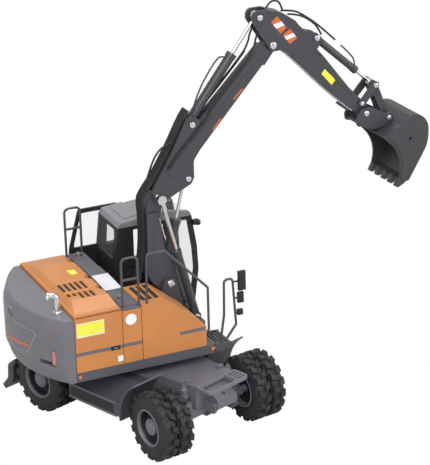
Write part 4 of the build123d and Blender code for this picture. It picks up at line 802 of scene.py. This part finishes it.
def arm_plate(name, rows, half, finish, body, slot, sides=BOTH_SIDES):
    """Thin plate with (x, z) corners on the arm's flanks."""
    solid = Solid()
    for sense in sides:
        solid.prism([(x, sense * (half - PLATE_SUNK), z) for x, z in rows],
                    (0, sense * (ARM_PLATE_RISE + PLATE_SUNK), 0))
    solid.make(name, finish, body, slot, smooth=False)


for number, plate in enumerate(HAZARD_PLATES):
    a, b, c, d = [Vector(corner) for corner in plate]
    for index, (start, stop, finish) in enumerate(HAZARD_BANDS):
        corners = [a.lerp(d, max(0, start - HAZARD_SKEW)),
                   b.lerp(c, min(1, start + HAZARD_SKEW) if start > 0 else 0.0),
                   b.lerp(c, min(1.0, stop + HAZARD_SKEW)),
                   a.lerp(d, stop - HAZARD_SKEW if stop < 1 else 1.0)]
        arm_plate(f"hazard_plate_{number}_{index}", corners, DIPPER_HALF, finish, "dipper", "arm_grey")
arm_plate("dipper_label", [(71.1, 105.7), (74.8, 101.0), (73.4, 99.6), (69.7, 103.9)], DIPPER_HALF,
          print_yellow, "dipper", "arm_grey", (-1,))
arm_plate("boom_stripe_high", [(40.96, 103.6), (41.34, 103.2), (37.99, 100.1), (37.61, 100.5)], STRIPE_HALF,
          print_orange, "upper_boom", "body_orange")
arm_plate("boom_stripe_low", [(33.04, 94.79), (33.46, 94.41), (30.51, 91.16), (30.09, 91.54)], STRIPE_HALF,
          print_orange, "upper_boom", "body_orange")

# Hoses and the dipper's pipe. Those along one piece of the arm stay on it, others cross a pivot as fixed
# meshes on no body
HOSE = 0.44
THIN = 0.32
PIPE = 0.27
BASE_SPREAD = (-2.1, -0.7, 0.7, 2.1)
TOP_SPREAD = (-2.35, 2.35)
base_route = [(1.6, 30.4), (2.4, 40.0), (4.5, 49.0), (5.6, 58.0), (5.4, 66.0)]
fixed_hoses("hoses_base_run", [[(x, y, z) for x, z in base_route] for y in BASE_SPREAD], HOSE,
            "base_boom", ["hoses_base"])
boom_route = [(9.0, 76.5), (15.0, 85.7), (20.4, 96.2), (22.4, 98.6)]
top_route = [(28.4, 97.1), (40.4, 109.2), (44.6, 114.2)]
boom_runs = [[(x, y, z) for x, z in boom_route] for y in (-1.8, -0.6, 0.6, 1.8)]
boom_runs += [[(x, y, z) for x, z in top_route] for y in TOP_SPREAD]
fixed_hoses("hoses_boom_run", boom_runs, HOSE, "upper_boom", ["hoses_boom"])
fixed_hoses("hoses_arm_run", [
    [(51.4, 0, 127.8), (52.4, 0, 129.4), (54.4, 0, 130.0), (56.4, 0, 129.0), (57.2, 0, 126.2)],
    [(56.0, -1.3, 126.6), (60.6, -1.1, 126.2), (64.8, -0.9, 123.6), (68.8, -0.6, 120.6),
     (72.4, -0.3, 117.4), (76.2, 0, 113.8)],
    [(57.9, -2.2, 125.4), (61.6, -2.3, 124.9), (65.6, -2.5, 122.6), (68.4, -2.8, 120.0),
     (69.6, -3.0, 117.2)],
], THIN, "dipper", ["hoses_arm"])
elbow_runs = []
for y in BASE_SPREAD:
    elbow_runs.append([(5.5, y, 65.2), (5.0, y, 69.0), (5.6, y * 0.95, 72.8), (9.4, y * 0.86, 77.2)])
bridging_hoses("hoses_elbow", elbow_runs, HOSE)
bend_runs = [[(44.2, y, 113.8), (46.0, y, 116.6), (46.4, y, 119.6), (48.6, y, 123.4)] for y in TOP_SPREAD]
bridging_hoses("hoses_dipper_bend", bend_runs, THIN)
fixed_hoses("boom_side_lines", [
    [(9.4, -1.9, 77.0), (7.6, -2.4, 74.4), (5.7, -3.0, 75.4), (7.6, -3.15, 80.6), (9.4, -3.15, 85.0),
     (11.6, -3.15, 87.8), (14.4, -3.0, 88.9), (16.9, -2.0, 89.1)],
    [(14.2, -3.35, 80.6), (17.6, -3.35, 85.0), (23.6, -3.4, 90.6), (29.6, -3.4, 97.2)],
], THIN, "upper_boom")
pipe_run = [(55.6, -2.55, 113.6), (57.4, -2.6, 112.0), (64.4, -2.62, 105.0), (70.8, -2.62, 98.4),
            (78.4, -2.6, 91.6), (81.0, -2.6, 89.6)]
pipe = hose_curve("dipper_pipe", [pipe_run], PIPE, dull_metal)
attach(pipe, "dipper")

# Cab and front: seals, black prints over parts of two panes, roof hatch, lamps, mirror faces and controls.
# The steering column and its wheel are in the scene only, because the CAD has none
PRINT_THICK = 0.08
PANE_PRINTS = [
    # name, body, y of the pane's face, corners (x, z)
    ("window_edge_print", "superstructure", 8.33, [(3.0, 48.0), (6.0, 48.0), (6.0, 57.6), (3.6, 57.6)]),
    ("door_pane_print", "cab_door", 26.21,
     [(6.4, 31.0), (-7.8, 31.0), (-8.6, 40.0), (-8.6, 46.0), (6.4, 46.0)]),
]
LAMP_AIM = (1, 0, -0.15)
LEVER = [
    # radius, height
    (0.5, 0), (0.42, 0.3), (0.2, 0.5), (0.2, 2.0), (0.4, 2.3), (0.4, 3.3), (TIP, 3.5),
]
STEERING_RIM = [(2.3, 0.0), (2.5, 0.2), (2.7, 0.0), (2.5, -0.2)]
STEERING_SPOKE = [
    # x, z
    (20.3, 40.5), (24.9, 42.34), (24.9, 42.74), (20.3, 40.9),
]
box_piece("cab_seals", [
    ((26.6, 9.0, 30.9), (27.15, 24.4, 31.5)),
    ((1.0, 8.0, 44.6), (16.9, 8.24, 45.4)),
], black_plastic, "black")
for name, body, y, rows in PANE_PRINTS:
    prism_piece(name, [(x, y, z) for x, z in rows], (0, PRINT_THICK, 0), cab_paint, body, "black")
prism_piece("roof_hatch", [(4.0, 11.0, 60.6), (14.6, 11.0, 61.5), (14.6, 22.4, 61.5), (4.0, 22.4, 60.6)],
            (0, 0, 0.35), roof_paint, "superstructure", "cab_grey", smooth=True)
lamp = Solid()
lamp.lathe([(0.95, 0), (0.95, 0.9), (0.8, 1.1), (TIP, 1.1)], (28.2, 7.2, 56.4), LAMP_AIM, 24)
lamp.make("work_lamp_body", black_plastic, "superstructure", "black")
glass = Solid()
glass.lathe([(0.76, 0), (0.74, 0.1), (TIP, 0.16)], (29.28, 7.2, 56.25), LAMP_AIM, 24)
glass.make("work_lamp_glass", mirror_glass, "superstructure", "chrome")
box_piece("mirror_faces", [
    ((29.5, -21.52, 43.2), (31.4, -21.42, 49.0)),
    ((29.15, -21.52, 38.9), (30.65, -21.42, 41.9)),
], mirror_glass, "chrome", smooth=False)
box_piece("step_lamp", [
    ((28.7, -22.6, 34.4), (30.5, -21.4, 36.2)),
    ((27.9, -22.2, 35.1), (28.8, -21.8, 35.5)),
], black_plastic, "black")
controls = Solid()
for lever_side in (11.9, 21.5):
    controls.lathe(LEVER, (12.4, lever_side, 38.4), (0.1, 0, 1), 16)
controls.lathe([(0.9, -0.6), (0.55, 2.0), (0.5, 12.8), (TIP, 12.9)], (25.4, 16.7, 28.7), (-0.22, 0, 1), 20)
controls.lathe(STEERING_RIM, (22.6, 16.7, 41.6), (-0.4, 0, 1), 32, ring=True)
controls.prism([(x, 16.5, z) for x, z in STEERING_SPOKE], (0, 0.4, 0))
controls.make("cab_controls", black_plastic, "superstructure", "black")
